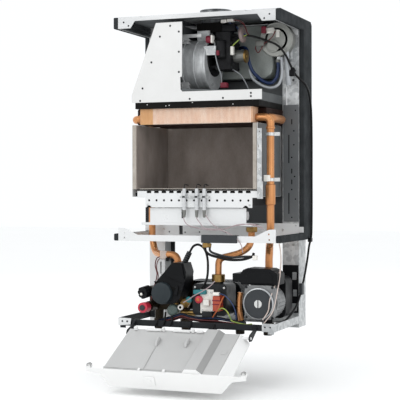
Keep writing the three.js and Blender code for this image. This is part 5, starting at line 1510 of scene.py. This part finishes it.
@dataclass
class PumpUnit:
    """Circulating pump: body, motor can, wiring box and vent screw."""

    x: float = 144.0
    z: float = 58.0
    face: float = -228.0
    ribs_round: int = 28
    rib_foot: float = 37.0
    rib_top: float = 39.4
    rib_ends: Point = (-197.0, -154.0)

    def build(self) -> None:
        """Dresses the pump and adds its name-free face, ribs and wires."""
        refine("pump_housing", BLACK_PLASTIC, 0.9)
        refine("pump_motor", MOTOR_PAINT, 0.9)
        refine("pump_impeller", BLACK_PLASTIC, 0.4, "pump_wheel")
        refine("pump_terminal_box", BLACK_PLASTIC, 2.2)
        refine("pump_vent_screw", SCREW_STEEL, 0.5, "vent_screw")
        Sketch().turned([(34.6, -1), (35.4, 0.2), (34.6, 1.6), (32.6, 2.0), (31.8, 1.2), (31.4, -0.6)],
            (self.x, self.face, self.z), (0, -1, 0), 64).put("pump_face_rim", ALUMINIUM)
        Sketch().turned([(31.2, -0.5), (31.2, 1.3), (29.6, 1.7), (11.4, 1.8)],
            (self.x, self.face, self.z), (0, -1, 0), 64).put("pump_face_plate", CAP_PLASTIC)
        self.ribs()
        screws("pump_screws", [(self.x + dx, -224.2, self.z + dz) for dx, dz in ((-29, -30), (31, -30),
            (-29, 36), (31, 36))], (0, -1, 0), 3.0, finish=DARK_STEEL)
        Sketch().prism([(116, 102), (172, 102), (172, 120), (164, 127), (120, 128), (112, 122)], -217.4,
            -215.6).soften(1.4).put("terminal_box_panel", BLACK_PLASTIC)
        self.wires()

    def ribs(self) -> None:
        """Casts the cooling ribs round the motor can."""
        made = Sketch()
        foot, top = self.rib_foot, self.rib_top
        corners = [Vector((foot, 0, -0.9)), Vector((top, 0, -0.7)), Vector((top, 0, 0.7)),
            Vector((foot, 0, 0.9))]
        for i in range(self.ribs_round):
            turn = Matrix.Rotation(2 * math.pi * i / self.ribs_round, 4, "Y")
            rings = [[turn @ c + Vector((self.x, y, self.z)) for c in corners] for y in self.rib_ends]
            made.loops(rings)
        made.put("pump_cooling_ribs", MOTOR_PAINT)

    def wires(self) -> None:
        """Lays the pump's leads and the two beige wires on the right."""
        wire("pump_beige_wire", [(182, -197, 190), (185, -196, 171), (184, -195, 136), (178, -205, 106),
            (172, -231, 70), (168, -232, 44), (156, -234, 24)], BEIGE_WIRE, 1.2)
        wire("pump_pale_wire", [(182, -197, 190), (186, -196, 160), (185.5, -200, 126), (184, -215, 88),
            (179, -230, 46), (166, -232, 26), (153, -233, 11)], BEIGE_WIRE, 1.2)
        wire("bar_hose", [(24, -236, 190), (22, -232, 173), (29, -226, 164), (44, -222, 159), (73, -220, 153),
            (105, -218, 154), (126, -216, 161), (128, -212, 168)], CABLE, 3.0)
        wire("bar_grey_hose", [(34, -232, 188), (30, -224, 172), (44, -216, 164), (74, -213, 158),
            (108, -212, 160), (134, -212, 160)], CAP_PLASTIC, 2.6)
        Sketch().box((128, 138), (-222, -212), (153, 163)).soften(1.4).put("pump_plug", WHITE_PLASTIC)
        Sketch().turned([(9.4, 0), (10.4, 1), (10.4, 9), (9.4, 10)], (26, -236, 180), (0, 0, 1),
            6).soften(0.6).put("bar_hose_nut", BRASS)
        Sketch().tube([(86, -180, 78), (84, -181, 60), (84, -181, 38), (87, -180, 15)], 6.2, 20,
            6).put("bypass_tube", COPPER)


@dataclass
class WaterExchanger:
    """Brazed stack of plates behind the valves."""

    left: float = -85.0
    right: float = 62.0
    bottom: float = 28.0
    top: float = 95.0
    front: float = -110.0
    back: float = -45.0
    corner: float = 22.0
    pitch: float = 2.5

    def build(self) -> None:
        """Stacks the plates along Y around a core that carries painted shade between them."""
        plate = Sketch().prism(self.outline(0.0), -0.9, 0.9).soften(0.35, 40, 1)
        count = int((self.back - self.front) / self.pitch)
        places = [(0, self.front + 1.4 + i * self.pitch, 0) for i in range(count)]
        # Painted shade and dark reflection make the stainless plates nearly black.
        REPEAT.spread("exchanger_plates", plate, places, PLATE_STEEL_PAINTED_SHADE, stands_for=["plate_exchanger"])
        # Painted shade: the core between the plates shows darker copper.
        Sketch().prism(self.outline(1.6), self.front + 0.6, self.back - 0.4).put("exchanger_plate_core",
            FIN_SHADE)

    def outline(self, inset: float) -> list[tuple[float, float]]:
        """Draws the rounded rectangle of one plate.

        Args:
            inset: How far it is drawn inward.

        Returns:
            The corners in X and Z.
        """
        r = self.corner - inset
        centres = [(self.right - self.corner, self.top - self.corner, 0),
            (self.left + self.corner, self.top - self.corner, 90), (self.left + self.corner,
            self.bottom + self.corner, 180), (self.right - self.corner, self.bottom + self.corner, 270)]
        return [(x + r * math.cos(math.radians(start + 15 * i)), z + r * math.sin(math.radians(start
            + 15 * i))) for x, z, start in centres for i in range(7)]


@dataclass
class Vessel:
    """Flat expansion vessel behind the fan."""

    def build(self) -> None:
        """Dresses the vessel and rolls its seam."""
        refine("expansion_vessel", VESSEL_PAINT, 3.0)
        Sketch().box((-36, 124), (-44, -41), (563.5, 566.5)).box((-36, 124), (-44, -41),
            (689, 691)).soften(1.2).put("vessel_seam", DARK_STEEL)


@dataclass
class ControlBox:
    """The hinged control box: tray, cover, dials, keys, window and board."""

    hinge_y: float = -281.0
    hinge_z: float = -4.5
    lean: float = 26.6
    body: str = "control_panel"
    dials: Point = (-95.0, 72.0)
    dial_y: float = -80.0
    mark_ring: float = 22.4
    sweep: int = 270
    mark_step: int = 27
    first_mark: int = 135

    def place(self, sketch: Sketch) -> Sketch:
        """Turns what is drawn flat into the opened box's place.

        Args:
            sketch: What is drawn in the box's own frame.

        Returns:
            The same sketch, moved.
        """
        turn = Matrix.Rotation(math.radians(self.lean), 4, "X")
        move = Matrix.Translation((0, self.hinge_y, self.hinge_z))
        bmesh.ops.transform(sketch.mesh, matrix=move @ turn, verts=sketch.mesh.verts)
        return sketch

    def build(self) -> None:
        """Dresses the box and adds its ribs, tabs, latch and dial marks."""
        refine("control_cover", GREY_PLASTIC, 0.8, self.body)
        refine("control_fascia", PALE_PLASTIC, 0.8, self.body)
        refine("control_board", BOARD, 0.3, self.body)
        refine("display_window", SMOKED, 0.6, self.body)
        for node, body in (("heating_knob", "heating_dial"), ("water_knob", "water_dial")):
            refine(node, GREY_PLASTIC, 0.7, body)
        for node, body in (("mode_button", "mode_key"), ("reset_button", "reset_key")):
            refine(node, CAP_PLASTIC, 0.7, body)
        self.cover_details()
        self.front_details()

    def cover_details(self) -> None:
        """Moulds the two ribs, the crease and the tabs of the cover."""
        made = Sketch()
        for x in (-54, 15):
            outline = [(-60, 0.8), (-31, 0.8), (-33, 7.6), (-37, 10), (-50, 10), (-56, 7)]
            made.prism(outline, x - 2.6, x + 2.6, "x")
        made.soften(1.4)
        self.place(made).put("cover_ribs", GREY_PLASTIC, self.body)
        trims = Sketch()
        for x0, x1, high in ((-128, -120, 9), (-98, -62, 5.6), (-60, -54, 10), (-34, 6, 5.4), (10, 16, 10),
                (22, 36, 6)):
            trims.box((x0, x1), (-3.6, 2.8), (1.4, high))
        trims.prism([(37, -3.6), (45.6, 8.3), (72.4, 8.3), (85.4, -3.6)], -149.2, -146.6)
        trims.box((-60, -55), (-151.8, -145), (0.5, 4)).box((-4, 2), (-151.8, -145), (0.5, 4))
        self.place(trims.soften(0.8)).put("cover_tabs", PALE_PLASTIC, self.body)
        slope = Sketch().prism([(72.3, 8.45), (84.3, -1.05), (84.1, -1.35), (72.1, 8.1)], -147.6, 4.6)
        self.place(slope).put("cover_shaded_faces", SHADED_PLASTIC, self.body)
        mark = Sketch().box((100, 113), (-75, -58), (-1.4, -0.6)).box((102, 111), (-73, -60), (-1.2, -0.2))
        self.place(mark.soften(0.3)).put("cover_mark", GREY_PLASTIC, self.body)
        line = Sketch().tube([(-54, -58, 1.1), (-53, -86, 1.1), (-51, -118, 1.1), (-50, -146, 1.1)], 0.7, 8,
            4)
        line.tube([(-142, -145, 0.9), (-60, -145, 0.9), (38, -145, 0.9)], 0.8, 8, 4)
        self.place(line).put("cover_crease", GREY_PLASTIC, self.body)

    def front_details(self) -> None:
        """Adds the latch, wing hooks, dial marks and cable stubs of the tray."""
        made = Sketch()
        made.box((-48, -24), (-154.6, -151.6), (-34, -12))
        made.soften(1.2)
        made.turned([(4.6, 0), (4.6, 1.2), (3.4, 1.8)], (-36, -154.4, -23), (0, -1, 0), 28)
        self.place(made).put("tray_latch", PALE_PLASTIC, self.body)
        curls = Sketch()
        for side in (-1, 1):
            for low, r in ((-150, 4.6), (-144, 3.4)):
                arc = [(side * (175 - r * math.sin(a)), low + 3, -0.5 + r - r * math.cos(a))
                    for a in (math.radians(d) for d in range(0, 300, 40))]
                curls.tube(arc, 1.2, 8, 3)
        self.place(curls).put("wing_hooks", SHADED_PLASTIC, self.body)
        marks = Sketch()
        for x in self.dials:
            for step in range(0, self.sweep + 1, self.mark_step):
                a = math.radians(step + self.first_mark)
                px, py = x + self.mark_ring * math.cos(a), self.dial_y + self.mark_ring * math.sin(a)
                marks.rod((px, py, -44.9), (px, py, -45.5), 0.8, 10, 0.1)
        self.place(marks).put("dial_marks", CAP_PLASTIC, self.body)
        stubs = Sketch().rod((-120, -4, -14), (-124, 9, -9), 3.4, 14).rod((118, -4, -14), (122, 8, -8), 3.4,
            14)
        self.place(stubs).put("tray_cable_stubs", CABLE, self.body)


@dataclass
class Harness:
    """The fan's black cable and the clips that hold it on the frame."""

    radius: float = 2.5

    def build(self) -> None:
        """Lays the cable along its held route, clips it and adds its joint."""
        route = [(54.5, -144, 652), (64, -144, 653), (80, -147, 656), (100, -150, 655), (132, -148, 645),
            (157, -128, 633), (171, -112, 612), (179, -100, 589), (185, -84, 571), (194, -78, 560),
            (204, -71, 549), (206, -52, 536), (205, -34, 518), (205, -24, 490), (205, -20, 430),
            (205, -20, 340), (205, -20, 250), (204.5, -22, 200), (201, -27, 178), (198.5, -32, 150),
            (196, -42, 118), (193.5, -56, 88), (191, -74, 60), (189, -100, 38), (179, -146, 14),
            (163, -196, 8), (158, -236.4, 7)]
        Sketch().tube(route, self.radius, 12, 7).put("fan_cable_sheath", CABLE, BODY, ["fan_cable"])
        clips = Sketch()
        clips.turned([(4.2, -5), (5.2, -4), (5.2, 4), (4.2, 5)], (182, -92, 580), (0.3, 0.5, -0.8), 20)
        clips.turned([(3.2, -4), (3.9, -3.2), (3.9, 3.2), (3.2, 4)], (203.4, -24, 190), (0, 0, 1), 20)
        clips.box((174, 186), (-98, -86), (566, 580)).box((199, 207.6), (-34, -20), (186, 196)).soften(1.6,
            60)
        clips.put("cable_clips", BLACK_PLASTIC)
        Sketch().box((189, 197), (-70, -55), (66, 92)).soften(1.4).put("cable_joint", CAP_PLASTIC)


def main() -> None:
    """Builds the studio and every sub-assembly in order."""
    logging.basicConfig(level=logging.INFO, format="%(message)s")
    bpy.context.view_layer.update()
    Studio().build()
    for assembly in (SheetFrame(), SmokeHood(), FanUnit(), AirSwitch(), Vessel(), Exchanger(), Chamber(),
            BurnerUnit(), Pipework(), GasTrain(), DiverterUnit(), WaterExchanger(), PumpUnit(), Harness(),
            ControlBox()):
        LOG.info("-- %s", type(assembly).__name__)
        assembly.build()


if __name__ == "__main__":
    main()
